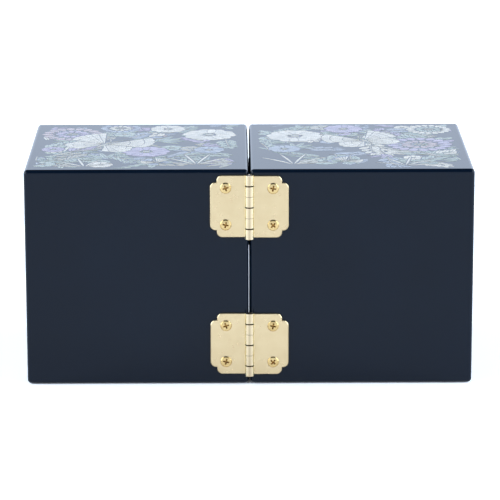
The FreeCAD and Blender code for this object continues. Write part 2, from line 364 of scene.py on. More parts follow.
SHELL = {
    Tone.PEARL: LacqueredShell(),
    Tone.LILAC: LacqueredShell("shell_lacquered_lilac", "#947F92", "#827892", "#B8A8B3"),
    Tone.ROSE: LacqueredShell("shell_lacquered_rose", "#977E77", "#8C747C", "#B9A49B"),
    Tone.TEAL: LacqueredShell("shell_lacquered_teal", "#8C927C", "#76867C", "#B0B69C"),
    Tone.BLUE: LacqueredShell("shell_lacquered_blue", "#86888D", "#77818F", "#AAAEAE"),
    Tone.GOLD: LacqueredShell("shell_lacquered_gold", "#9A8F78", "#858474", "#BDB193"),
}


@dataclass(frozen=True)
class StampedBrass(Finish):
    """Brass-plated sheet, stamped, rolled and barrel-polished to a satin."""

    # The eye gets a pale champagne satin with a soft grain along the rolling direction and faint
    # clouds in the plating.
    title: str = "brass_stamped_satin"
    main: str = "#CDB78F"
    deep: str = "#C9B28A"
    gloss: tuple[float, float] = (0.27, 0.31)
    grain: tuple[float, float, float] = (1.0, 1.0, 0.03)
    grain_mm: float = 0.35
    grain_depth_mm: float = 0.0015

    def surface(self, tree: bpy.types.NodeTree, place: Socket) -> dict[str, Value]:
        """Metal with plating clouds and a fine grain one way.

        Args:
            tree: the material's node tree.
            place: object coordinates.

        Returns:
            The shader's inputs, by name.
        """
        clouds = self.spread(tree, self.noise(tree, place, 6.0, 4.0), 0.35, 0.7)
        streaks = self.noise(tree, self.stretched(tree, place, self.grain), self.grain_mm, 3.0)
        rubbed = self.noise(tree, place, 2.5, 3.0)
        return {
            "Base Color": self.blend(tree, clouds, linear(self.main), linear(self.deep)),
            "Metallic": 1.0,
            "Roughness": self.spread(tree, rubbed, 0.3, 0.7, *self.gloss),
            "Normal": self.relief(tree, streaks, self.grain_depth_mm)}


@dataclass(frozen=True)
class RolledBrass(StampedBrass):
    """The same sheet where it is rolled into knuckles, with painted reflection bands across the
    barrel.
    """

    # The eye gets a barrel with a painted reflection: a darker painted band down its crown between
    # two painted highlights on its flanks, brighter than the flat leaf.
    title: str = "brass_stamped_rolled_satin"
    # Painted reflection: the crown colour is painted shade down the middle of the barrel, and the
    # side and flank colours are painted highlights on either side of it.
    crown: str = "#B5A081"
    side: str = "#DECAA5"
    flank_highlight: str = "#EDE0B8"
    # Where the painted reflection bands lie
    side_highlight_mm: float = 1.3        # distances from the hinge axis, across the barrel
    flank_highlight_mm: float = 1.9
    barrel_mm: float = 2.3
    smoother: float = 0.13      # roughness that the rolling takes away

    def surface(self, tree: bpy.types.NodeTree, place: Socket) -> dict[str, Value]:
        """The leaf's finish, with painted reflection bands on the barrel within its radius of the
        hinge axis.

        Args:
            tree: the material's node tree.
            place: object coordinates.

        Returns:
            The shader's inputs, by name.
        """
        inputs = super().surface(tree, place)
        across = add_node(tree, "SeparateXYZ", {"Vector": place}).outputs["X"]
        away = add_node(tree, "Math", {0: across}, operation="ABSOLUTE").outputs[0]
        # Paints the reflection across the barrel, from the dark crown out to the highlighted flanks
        colour = linear(self.crown)
        stops = (
            (0.0, self.side_highlight_mm, linear(self.side)),
            (self.side_highlight_mm, self.flank_highlight_mm, linear(self.flank_highlight)),
            (self.barrel_mm, self.barrel_mm + 0.1, inputs["Base Color"]))
        for near, far, shade in stops:
            share = self.spread(tree, away, near * MM, far * MM)
            colour = self.blend(tree, share, colour, shade)
        rolled = self.spread(tree, away, self.barrel_mm * MM, self.side_highlight_mm * MM)
        rough = add_node(
            tree, "Math", {0: rolled, 1: -self.smoother, 2: inputs["Roughness"]},
            operation="MULTIPLY_ADD")
        return {**inputs, "Base Color": colour, "Roughness": rough.outputs[0]}


LEAF_BRASS = RolledBrass()
SCREW_BRASS = StampedBrass(
    "brass_plated_steel_bright", "#D2B780", "#C4A46A", (0.18, 0.28), (1.0, 1.0, 1.0), 0.6, 0.002)
# The recess is rougher than the head, and its darker, more orange colours are painted shade in the
# recess.
RECESS_BRASS_PAINTED_SHADE = StampedBrass(
    "brass_plated_steel_unpolished", "#CAA05A", "#99713A", (0.4, 0.6), (1.0, 1.0, 1.0), 0.4, 0.01)
PIN_BRASS = StampedBrass(
    "brass_wire_drawn_tarnished", "#3E2F1A", "#2A1F10", (0.35, 0.5), (1.0, 1.0, 0.05), 0.2, 0.003)
KNOB_BRASS = StampedBrass(
    "brass_turned_polished", "#EBC987", "#DDB56C", (0.07, 0.14), (1.0, 12.0, 1.0), 0.9, 0.001)
ZINC = StampedBrass(
    "steel_zinc_plated", "#C3C3C0", "#A8A8A6", (0.25, 0.4), (1.0, 1.0, 1.0), 0.5, 0.003)


@dataclass(frozen=True)
class StainedBeech(Finish):
    """Beech boards, planed, stained black and sealed with a satin coat."""

    # The eye gets charcoal wood with short pores along the grain and little shine.
    title: str = "beech_stained_black_satin"
    main: str = "#191715"
    pore: str = "#0B0A09"
    worn: str = "#2A2622"
    grain_mm: float = 1.4
    pore_mm: float = 0.5        # real beech pores are about 0.1 mm wide

    def surface(self, tree: bpy.types.NodeTree, place: Socket) -> dict[str, Value]:
        """Grain and pores that run along the depth of the box.

        Args:
            tree: the material's node tree.
            place: object coordinates.

        Returns:
            The shader's inputs, by name.
        """
        along = self.stretched(tree, place, (1.0, 0.07, 1.0))
        grain = self.noise(tree, along, self.grain_mm, 5.0, 0.5)
        pores = self.spread(tree, self.noise(tree, along, self.pore_mm, 2.0), 0.56, 0.68)
        rubbed = self.spread(tree, grain, 0.3, 0.7)
        colour = self.blend(tree, rubbed, linear(self.main), linear(self.worn))
        return {
            "Base Color": self.blend(tree, pores, colour, linear(self.pore)),
            "Roughness": self.spread(tree, grain, 0.3, 0.7, 0.34, 0.5),
            "IOR": 1.5,
            "Normal": self.relief(tree, pores, -0.03)}


@dataclass(frozen=True)
class CottonVelvet(Finish):
    """Cotton pile velvet, woven, cut and brushed."""

    # The eye gets a deep wine red whose pile turns light at the edges and is pressed in patches.
    title: str = "velvet_cotton_cut_pile"
    main: str = "#5A0F1E"
    pressed: str = "#3A0813"
    tip: str = "#8C3A4C"
    pile_mm: float = 0.45       # real pile tufts are about 0.2 mm apart
    pile_depth_mm: float = 0.12

    def surface(self, tree: bpy.types.NodeTree, place: Socket) -> dict[str, Value]:
        """Pile with pressed patches and a pale sheen.

        Args:
            tree: the material's node tree.
            place: object coordinates.

        Returns:
            The shader's inputs, by name.
        """
        patches = self.spread(tree, self.noise(tree, place, 14.0, 3.0, 0.8), 0.38, 0.66)
        pile = self.noise(tree, place, self.pile_mm, 2.0)
        colour = self.blend(tree, patches, linear(self.main), linear(self.pressed))
        tips = self.spread(tree, pile, 0.5, 0.8, 0.0, 0.35)
        return {
            "Base Color": self.blend(tree, tips, colour, linear(self.tip)),
            "Roughness": 0.95,
            "Specular IOR Level": 0.2,
            "Sheen Weight": 0.7,
            "Sheen Roughness": 0.4,
            "Sheen Tint": linear("#B4576A"),
            "Normal": self.relief(tree, pile, self.pile_depth_mm)}


@dataclass(frozen=True)
class WoolFelt(Finish):
    """Black wool felt, pressed and cut from the sheet."""

    # The eye gets a matt charcoal mat of crossing fibres with no shine at all.
    title: str = "wool_felt_pressed"
    main: str = "#1B1B1D"
    fibre: str = "#3A3A3E"
    fibre_mm: float = 0.6       # real fibres are far thinner

    def surface(self, tree: bpy.types.NodeTree, place: Socket) -> dict[str, Value]:
        """Fibres that cross in two directions.

        Args:
            tree: the material's node tree.
            place: object coordinates.

        Returns:
            The shader's inputs, by name.
        """
        lays = []
        for lay in ((1.0, 0.2, 1.0), (0.2, 1.0, 1.0)):
            along = self.stretched(tree, place, lay)
            lays.append(self.noise(tree, along, self.fibre_mm, 3.0, 2.0))
        mat = add_node(tree, "Math", {0: lays[0], 1: lays[1]}, operation="MAXIMUM").outputs[0]
        share = self.spread(tree, mat, 0.5, 0.75)
        return {
            "Base Color": self.blend(tree, share, linear(self.main), linear(self.fibre)),
            "Roughness": 1.0,
            "Specular IOR Level": 0.1,
            "Sheen Weight": 0.2,
            "Normal": self.relief(tree, mat, 0.1)}


@dataclass(frozen=True)
class BackdropPaper(Finish):
    """Seamless white paper, matt coated, glowing with painted light that fades into a painted
    contact shadow where things stand on it.
    """

    # The eye gets an even white with the faintest tooth.
    title: str = "paper_seamless_white"
    main: str = "#F4F5F6"
    shade: str = "#F0F1F2"
    glow: float = 0.4           # painted light, a glow of the paper's own
    shadow_reach: float = 0.02
    shadow_samples: int = 6
    shadow_open: tuple[float, float] = (0.06, 0.3)      # share of open sky, from dark to fully lit

    def surface(self, tree: bpy.types.NodeTree, place: Socket) -> dict[str, Value]:
        """Almost even white, glowing with painted light except where something stands on it, which
        leaves a painted contact shadow.

        Args:
            tree: the material's node tree.
            place: object coordinates.

        Returns:
            The shader's inputs, by name.
        """
        clouds = self.noise(tree, place, 220.0)
        # Painted contact shadow: the glow fades where ambient occlusion finds something near
        opening = add_node(
            tree, "AmbientOcclusion", {"Distance": self.shadow_reach}, samples=self.shadow_samples)
        lit = self.spread(tree, opening.outputs["AO"], *self.shadow_open, 0.0, self.glow)
        return {
            "Base Color": self.blend(tree, clouds, linear(self.main), linear(self.shade)),
            "Roughness": 0.9,
            "Specular IOR Level": 0.05,
            "Emission Color": linear("#FFFFFF"),
            "Emission Strength": lit,
            "Normal": self.relief(tree, self.noise(tree, place, 1.5), 0.01)}


LACQUER = PolyesterLacquer()
# The faces that the cubes turn to each other are only sanded, and show as black with a dull gleam
DULL_LACQUER = PolyesterLacquer(
    "polyester_lacquer_sanded_black", "#020508", "#030609", shine=0.2, gloss=(0.42, 0.55))
BEECH = StainedBeech()
VELVET = CottonVelvet()
FELT = WoolFelt()
PAPER = BackdropPaper()


# Meshes

Point = complex
Outline = tuple[Point, ...]


def new_piece(
    name: str, mesh: Union[bpy.types.Mesh, bmesh.types.BMesh], *finishes: Finish
) -> bpy.types.Object:
    """Makes a mesh into an object of the scene.

    Args:
        name: the piece's name.
        mesh: its mesh, in the row frame. A bmesh is used up, and a mesh keeps its materials.
        *finishes: the finish of each material slot of a bmesh.

    Returns:
        The object, at the origin.
    """
    if isinstance(mesh, bmesh.types.BMesh):
        bmesh.ops.recalc_face_normals(mesh, faces=mesh.faces)
        made = bpy.data.meshes.new(name)
        for finish in finishes:
            made.materials.append(finish.material())
        mesh.to_mesh(made)
        mesh.free()
    else:
        made = mesh
        made.name = name
    piece = bpy.data.objects.new(name, made)
    bpy.context.scene.collection.objects.link(piece)
    return piece


def smooth(piece: bpy.types.Object, sharp_above: float = 35.0) -> None:
    """Shades a piece smoothly over its rounded edges while its flat faces stay flat.

    Args:
        piece: the object to shade.
        sharp_above: edges that turn by more degrees than this stay sharp.
    """
    mesh = piece.data
    mesh.shade_smooth()
    mesh.set_sharp_from_angle(angle=math.radians(sharp_above))
    evened = piece.modifiers.new("even_normals", "WEIGHTED_NORMAL")
    evened.keep_sharp = True
    evened.weight = 100


def settle(
    piece: bpy.types.Object, body: str, replaced: Iterable[str] = ()
) -> bpy.types.Object:
    """Gives a finished piece its body and the nodes that it stands for.

    Args:
        piece: the object.
        body: the body of the frame that it rides on.
        replaced: the CAD nodes that it stands for.

    Returns:
        The same object.
    """
    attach(piece, body)
    if replaced:
        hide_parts(*replaced)
    LOG.info("%s rides on %s, %d faces", piece.name, body, len(piece.data.polygons))
    return piece


def dress(node: str, finish: Finish, sharp_above: float = 35.0) -> None:
    """Gives a CAD node its finish and smooth shading.

    Args:
        node: the node's name.
        finish: its finish.
        sharp_above: edges that turn by more degrees than this stay sharp.
    """
    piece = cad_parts[node]
    piece.data.materials.clear()
    piece.data.materials.append(finish.material())
    smooth(piece, sharp_above)
    LOG.info("%s keeps its CAD shape", node)


def rounded_rectangle(
    low: tuple[float, float], high: tuple[float, float], radius: float, steps: int
) -> list[tuple[float, float]]:
    """Corners and arcs of a rectangle with rounded corners, going round once.

    Args:
        low: its lowest x and y.
        high: its highest x and y.
        radius: of the corners.
        steps: segments in each corner's arc.

    Returns:
        The points, 4 * (steps + 1) of them.
    """
    centres = (
        (high[0] - radius, high[1] - radius), (low[0] + radius, high[1] - radius),
        (low[0] + radius, low[1] + radius), (high[0] - radius, low[1] + radius))
    points = []
    for quarter, (x, y) in enumerate(centres):
        for step in range(steps + 1):
            turn = math.pi / 2 * (quarter + step / steps)
            points.append((x + radius * math.cos(turn), y + radius * math.sin(turn)))
    return points


def loft(rings: Sequence[Sequence[Vector]]) -> bmesh.types.BMesh:
    """A closed skin through rings, capped at both ends.

    Args:
        rings: loops with the same number of points, in order.

    Returns:
        The skin.
    """
    bm = bmesh.new()
    loops = [[bm.verts.new(point) for point in ring] for ring in rings]
    count = len(loops[0])
    for lower, upper in zip(loops, loops[1:]):
        for i in range(count):
            j = (i + 1) % count
            bm.faces.new((lower[i], lower[j], upper[j], upper[i]))
    bm.faces.new(loops[0])
    bm.faces.new(loops[-1])
    return bm


def shrink_face(
    bm: bmesh.types.BMesh, face: bmesh.types.BMFace, margin: float, down: float = 0.0
) -> None:
    """Shrinks a face by the same margin on every side and sinks it.

    Args:
        bm: the mesh.
        face: the face.
        margin: how far each of its edges moves inwards.
        down: how far the face sinks.
    """
    bmesh.ops.inset_region(
        bm, faces=[face], thickness=margin, depth=-down, use_even_offset=True)


def lathe(profile: Sequence[tuple[float, float]], steps: int) -> bmesh.types.BMesh:
    """Turns a profile about the Z axis.

    Args:
        profile: pairs of radius and height, whose first and last radius is 0.
        steps: segments round the axis.

    Returns:
        The closed turned shape.
    """
    bm = bmesh.new()
    ends = [bm.verts.new((0, 0, profile[end][1])) for end in (0, -1)]
    rings = []
    for radius, height in profile[1:-1]:
        turns = [2 * math.pi * i / steps for i in range(steps)]
        rings.append([
            bm.verts.new((radius * math.cos(t), radius * math.sin(t), height)) for t in turns])
    for i in range(steps):
        j = (i + 1) % steps
        bm.faces.new((ends[0], rings[0][i], rings[0][j]))
        bm.faces.new((ends[1], rings[-1][j], rings[-1][i]))
        for lower, upper in zip(rings, rings[1:]):
            bm.faces.new((lower[i], lower[j], upper[j], upper[i]))
    return bm


def arc(
    centre: tuple[float, float], radius: float, start: float, end: float, steps: int
) -> list[tuple[float, float]]:
    """Points of an arc, from one angle in degrees to another."""
    turns = [math.radians(start + (end - start) * i / steps) for i in range(steps + 1)]
    return [(centre[0] + radius * math.cos(t), centre[1] + radius * math.sin(t)) for t in turns]


# Shell inlay, drawn in millimetres on complex numbers

# Real saw cuts are about 0.1 mm wide. These are as wide as they need to be to show.
SAW_CUT = 0.3               # between neighbouring pieces of one motif
MOAT = 0.5                  # bare lacquer left round a motif that lies over another


@dataclass(frozen=True)
class Tile:
    """One sawn piece of shell."""

    outline: Outline
    tone: Tone

    def moved(self, at: Point, degrees: float) -> "Tile":
        """The tile turned about the origin and then moved."""
        turn = cmath.rect(1, math.radians(degrees))
        return Tile(tuple(at + p * turn for p in self.outline), self.tone)

    def grown(self, margin: float) -> "Tile":
        """The tile with every edge moved outwards.

        Args:
            margin: how far.

        Returns:
            The larger tile.
        """
        points = [self.outline[0]]
        for point in self.outline[1:]:
            if min(abs(point - points[-1]), abs(point - points[0])) > 0.7 * margin:
                points.append(point)
        if len(points) < 5:
            points = list(self.outline)
        count = len(points)
        wider = []
        for i, point in enumerate(points):
            along = points[(i + 1) % count] - points[i - 1]
            outward = along / abs(along) * -1j if abs(along) > 1e-9 else 0
            wider.append(point + outward * margin)
        if crosses_itself(wider):
            ring = [cmath.rect(margin, math.tau * i / 8) for i in range(8)]
            wide = [p + offset for p in self.outline for offset in ring]
            wider = [wide[i] for i in convex_hull_2d([Vector((p.real, p.imag)) for p in wide])]
        return Tile(tuple(wider), self.tone)


def crosses_itself(outline: Sequence[Point]) -> bool:
    """Whether any two edges of an outline cross, which the triangulation can't take.

    Args:
        outline: its points, in order.

    Returns:
        True where two edges cross.
    """
    def hand(a: Point, b: Point, c: Point) -> float:
        """Positive where c lies to the left of the line from a to b."""
        return ((b - a).conjugate() * (c - a)).imag

    edges = list(zip(outline, (*outline[1:], outline[0])))
    for i, (a, b) in enumerate(edges):
        for c, d in edges[i + 2:]:
            if hand(a, b, c) * hand(a, b, d) < 0 and hand(c, d, a) * hand(c, d, b) < 0:
                return True
    return False


def turned_outwards(outline: Sequence[Point]) -> Outline:
    """The same outline, running anticlockwise from the start of its longest edge.

    Args:
        outline: its points, in either direction.

    Returns:
        The points in the order in which the triangulation can tell inside from outside.
    """
    area = sum((p.conjugate() * q).imag for p, q in zip(outline, (*outline[1:], outline[0])))
    points = tuple(outline) if area > 0 else tuple(reversed(outline))
    edges = [abs(q - p) for p, q in zip(points, (*points[1:], points[0]))]
    first = edges.index(max(edges))
    return points[first:] + points[:first]


def disc(at: Point, radius: float, tone: Tone, steps: int = 12) -> Tile:
    """A round piece."""
    return Tile(tuple(at + cmath.rect(radius, math.tau * i / steps) for i in range(steps)), tone)


def stem_point(length: float, bend: float, share: float) -> tuple[Point, float]:
    """A point on an evenly bent stem that starts along +x.

    Args:
        length: of the whole stem.
        bend: degrees by which it turns from end to end.
        share: how far along it, from 0 to 1.

    Returns:
        The point, and the stem's heading there in degrees.
    """
    if abs(bend) < 0.01:
        return complex(length * share), 0.0
    radius = length / math.radians(bend)
    heading = math.radians(bend * share)
    return complex(radius * math.sin(heading), radius * (1 - math.cos(heading))), bend * share


def blade(
    length: float, width: float, tone: Tone, cuts: int = 0, fullness: float = 1.0,
    roundness: float = 1.0, bend: float = 0.0, steps: int = 9,
) -> list[Tile]:
    """A leaf, petal or stem that starts at the origin along +x, sawn lengthwise into strips.

    Args:
        length: from end to end.
        width: at the widest place.
        tone: of the shell.
        cuts: saw cuts along it.
        fullness: 1 is widest at the middle, and more is widest nearer the tip.
        roundness: 1 gives pointed ends, and less gives round ones.
        bend: degrees by which it turns from end to end.
        steps: segments along it.

    Returns:
        The strips.
    """
    tiles = []
    for strip in range(cuts + 1):
        low, high = 2 * strip / (cuts + 1) - 1, 2 * (strip + 1) / (cuts + 1) - 1
        lower, upper = [], []
        for step in range(steps + 1):
            share = step / steps
            half = width / 2 * max(0.0, math.sin(math.pi * share ** fullness)) ** roundness
            point, heading = stem_point(length, bend, share)
            across = 1j * cmath.rect(1, math.radians(heading))
            start = low * half + (SAW_CUT / 2 if strip > 0 else 0)
            end = high * half - (SAW_CUT / 2 if strip < cuts else 0)
            if end - start > 0.08:
                lower.append(point + across * start)
                upper.append(point + across * end)
            elif cuts == 0:
                lower.append(point)
        if len(lower) + len(upper) > 4:
            tiles.append(Tile(turned_outwards(lower + upper[::-1]), tone))
    return tiles


def moved(tiles: Iterable[Tile], at: Point, degrees: float) -> list[Tile]:
    """Tiles turned about the origin and then moved."""
    return [tile.moved(at, degrees) for tile in tiles]


class Motif:
    """One figure of the inlay, drawn round the origin."""

    def tiles(self) -> list[Tile]:
        """The pieces of shell that make the figure."""
        raise NotImplementedError


@dataclass(frozen=True)
class Blossom(Motif):
    """A flower of broad round petals, each sawn into strips, with a ring of stamens."""

    radius: float
    tone: Tone = Tone.PEARL
    heart: Tone = Tone.GOLD
    petals: int = 5
    cuts: int = 2
    # Shares of the radius
    petals_from: float = 0.12
    stamens_at: float = 0.27
    heart_size: float = 0.15

    def tiles(self) -> list[Tile]:
        """Petals, stamens and heart.

        Returns:
            The tiles, petals first.
        """
        inner = self.petals_from * self.radius
        reach = self.radius - inner
        width = 2 * (inner + 0.62 * reach) * math.tan(math.pi / self.petals) * 0.97
        made = []
        for number in range(self.petals):
            turn = 360 * number / self.petals
            start = cmath.rect(inner, math.radians(turn))
            petal = blade(reach, width, self.tone, self.cuts, 1.45, 0.62, steps=8)
            made += moved(petal, start, turn)
        stamens = self.petals * 2
        for number in range(stamens):
            at = cmath.rect(self.stamens_at * self.radius, math.tau * (number + 0.5) / stamens)
            made.append(disc(at, 0.035 * self.radius, self.heart, 6))
        made.append(disc(0, self.heart_size * self.radius, self.heart))
        return made


@dataclass(frozen=True)
class Rosette(Motif):
    """A chrysanthemum seen from above: rings of slim petals round a beaded heart."""

    radius: float
    tone: Tone = Tone.ROSE
    inner_tone: Tone = Tone.LILAC
    petals: int = 17

    def tiles(self) -> list[Tile]:
        """Two rings of petals and the beads.

        Returns:
            The tiles, from the outer ring inwards.
        """
        made = []
        rings = ((0.6, 1.0, self.petals, self.tone), (0.24, 0.57, self.petals - 5, self.inner_tone))
        for start, end, count, tone in rings:
            reach = (end - start) * self.radius
            width = math.tau * (start + 0.6 * (end - start)) * self.radius / count - SAW_CUT * 1.6
            for number in range(count):
                turn = 360 * (number + start) / count
                at = cmath.rect(start * self.radius, math.radians(turn))
                made += moved(blade(reach, width, tone, 0, 1.3, 0.6, steps=7), at, turn)
        for number in range(6):
            at = cmath.rect(0.13 * self.radius, math.tau * number / 6)
            made.append(disc(at, 0.05 * self.radius, Tone.GOLD, 7))
        made.append(disc(0, 0.055 * self.radius, Tone.GOLD, 7))
        return made


@dataclass(frozen=True)
class Butterfly(Motif):
    """A butterfly from above with its head towards +y, its wings sawn into cells."""

    span: float
    tone: Tone = Tone.PEARL
    rim: Tone = Tone.PEARL
    lower: Tone = Tone.PEARL
    # Start and end of each band of cells, in shares of the wing's reach
    bands: tuple[tuple[float, float], ...] = ((0.13, 0.515), (0.53, 0.815), (0.83, 1.0))

    def wing(
        self, start: float, end: float, cells: int, reach: Callable[[float], float], tone: Tone
    ) -> list[Tile]:
        """One wing on the right-hand side.

        Args:
            start: angle of its lower edge, in degrees.
            end: angle of its upper edge.
            cells: how many rays of cells it has.
            reach: its outer radius for a share of the way from start to end.
            tone: of its inner cells.

        Returns:
            The cells, in three bands.
        """
        made = []
        steps = 3
        for near, far in self.bands:
            shade = self.rim if far == 1.0 else tone
            for cell in range(cells):
                outer, inner = [], []
                for step in range(steps + 1):
                    share = (cell + step / steps) / cells
                    scallop = 1 + 0.035 * math.sin(math.pi * step / steps) if far == 1.0 else 1
                    for band, line in ((far * scallop, outer), (near, inner)):
                        radius = band * reach(share)
                        cut = min(math.degrees(SAW_CUT / radius), 0.85 * (end - start) / cells)
                        turn = start + (end - start) * share + cut * (0.5 - step / steps)
                        line.append(cmath.rect(radius, math.radians(turn)))
                made.append(Tile(turned_outwards(outer + inner[::-1]), shade))
        return made

    def tiles(self) -> list[Tile]:
        """Both pairs of wings, the body and the feelers.

        Returns:
            The tiles, wings first.
        """
        half = self.span / 2
        fore = self.wing(6, 62, 6, lambda s: half * (0.74 + 0.26 * s ** 0.8), self.tone)
        hind = self.wing(
            -66, 3, 5, lambda s: half * (0.56 + 0.16 * math.sin(math.pi * s) ** 1.5), self.lower)
        made = list(fore + hind)
        for tile in fore + hind:
            flipped = tuple(-p.conjugate() for p in tile.outline)
            made.append(Tile(turned_outwards(flipped), tile.tone))
        size = self.span / 50
        for at, radius in ((0.3, 1.5), (3.3, 1.15), (-2.5, 1.25), (-4.9, 1.05), (-6.9, 0.8)):
            made.append(disc(1j * at * size, radius * size, Tone.GOLD, 10))
        for bend, turn in ((-38, 76), (38, 104)):
            made += moved(blade(11 * size, 0.5, Tone.GOLD, bend=bend), 4.4j * size, turn)
        return made


@dataclass(frozen=True)
class LeafSpray(Motif):
    """A bent stem with pairs of slim leaves, split along their ribs."""

    length: float
    pairs: int = 4
    leaf: float = 9.0
    slim: float = 0.3
    bend: float = 30.0
    tone: Tone = Tone.TEAL
    spread: float = 42.0

    def tiles(self) -> list[Tile]:
        """The stem, its pairs of leaves and the leaf at the tip.

        Returns:
            The tiles, from the stem's foot to the tip.
        """
        made = blade(self.length, 0.55, Tone.GOLD, bend=self.bend, roundness=0.4)
        for pair in range(self.pairs):
            share = (pair + 0.6) / self.pairs
            size = self.leaf * (1 - 0.35 * share)
            for hand in (1, -1):
                later = share + (0.35 / self.pairs if hand < 0 else 0)
                at, heading = stem_point(self.length, self.bend, min(1.0, later))
                turn = heading + hand * self.spread
                start = at + cmath.rect(0.5, math.radians(turn))
                leaf = blade(size, size * self.slim, self.tone, 1, 0.85, 0.85, hand * -16, 7)
                made += moved(leaf, start, turn)
        at, heading = stem_point(self.length, self.bend, 1.0)
        tip = blade(self.leaf * 0.7, self.leaf * self.slim * 0.7, self.tone, 1, 0.85, 0.85, steps=7)
        return made + moved(tip, at + cmath.rect(0.4, math.radians(heading)), heading)


@dataclass(frozen=True)
class Bamboo(Motif):
    """A fan of long leaves from one joint."""

    leaf: float
    leaves: int = 5
    open: float = 110.0
    tone: Tone = Tone.TEAL

    def tiles(self) -> list[Tile]:
        """The leaves, longest in the middle.

        Returns:
            The tiles of every leaf.
        """
        made = []
        for number in range(self.leaves):
            share = number / (self.leaves - 1) - 0.5
            size = self.leaf * (1 - 0.5 * abs(share))
            turn = self.open * share
            leaf = blade(size, size * 0.19, self.tone, 1, 0.8, 0.9, share * 30, 8)
            made += moved(leaf, cmath.rect(1.2, math.radians(turn)), turn)
        return made


@dataclass(frozen=True)
class Orchid(Motif):
    """Long grass-like blades that part from one root."""

    blade_length: float
    blades: int = 5
    tone: Tone = Tone.PEARL
    width: float = 1.15
    open: float = 118.0         # degrees from the first blade to the last
    droop: float = 62.0         # degrees by which the outermost blades bend

    def tiles(self) -> list[Tile]:
        """The blades, longest in the middle.

        Returns:
            The tiles, one for each blade.
        """
        made = []
        for number in range(self.blades):
            share = number / (self.blades - 1) - 0.5
            size = self.blade_length * (1 - 0.55 * abs(share))
            turn = 90 - self.open * share
            leaf = blade(size, self.width, self.tone, 0, 0.9, 0.75, -self.droop * share)
            made += moved(leaf, cmath.rect(1.5, math.radians(turn)), turn)
        return made


@dataclass(frozen=True)
class Twig(Motif):
    """A crooked branch in short lengths, with buds."""

    lengths: tuple[float, ...]
    turns: tuple[float, ...]
    width: float = 1.5
    tone: Tone = Tone.GOLD
    bud: Tone = Tone.ROSE

    def tiles(self) -> list[Tile]:
        """The lengths of wood, each thinner than the last, and a bud at every second joint.

        Returns:
            The tiles, from the root outwards.
        """
        made = []
        at, heading = 0j, 0.0
        for number, (length, turn) in enumerate(zip(self.lengths, self.turns)):
            heading += turn
            width = self.width * (1 - 0.7 * number / len(self.lengths))
            piece = blade(length - SAW_CUT, width, self.tone, 0, 0.9, 0.3, turn * 0.3, 6)
            made += moved(piece, at, heading)
            at += cmath.rect(length, math.radians(heading + turn * 0.15))
            if number % 2:
                side = heading + (55 if turn < 0 else -55)
                start = at + cmath.rect(1.0, math.radians(side))
                made += moved(blade(3.0, 0.45, self.tone, roundness=0.4, steps=4), start, side)
                made.append(disc(start + cmath.rect(4.0, math.radians(side)), 1.2, self.bud, 9))
        return made


@dataclass(frozen=True)
class Spot:
    """Where a motif goes, in millimetres from the field's corner, and how it is turned."""

    motif: Motif
    x: float
    y: float
    degrees: float = 0.0

    def tiles(self) -> list[Tile]:
        """The motif's tiles in place."""
        return moved(self.motif.tiles(), complex(self.x, self.y), self.degrees)


@dataclass(frozen=True)
class Field:
    """A flat face that takes inlay: its corner, its two directions, and its size in millimetres."""

    corner: Vector
    across: Vector
    up: Vector
    width: float
    height: float
    margin: float = 4.0
    proud: float = 0.05 * MM
    sunk: float = 0.1 * MM

    def holds(self, tile: Tile) -> bool:
        """Whether a tile keeps the margin.

        Args:
            tile: the piece of shell, in millimetres from the corner.

        Returns:
            True where all of it lies inside.
        """
        return all(
            self.margin <= p.real <= self.width - self.margin
            and self.margin <= p.imag <= self.height - self.margin for p in tile.outline)

    def place(self, point: Vector, height: float) -> Vector:
        """A point of the drawing on the face, at a height above it."""
        normal = self.across.cross(self.up)
        return self.corner + self.across * point.x * MM + self.up * point.y * MM + normal * height


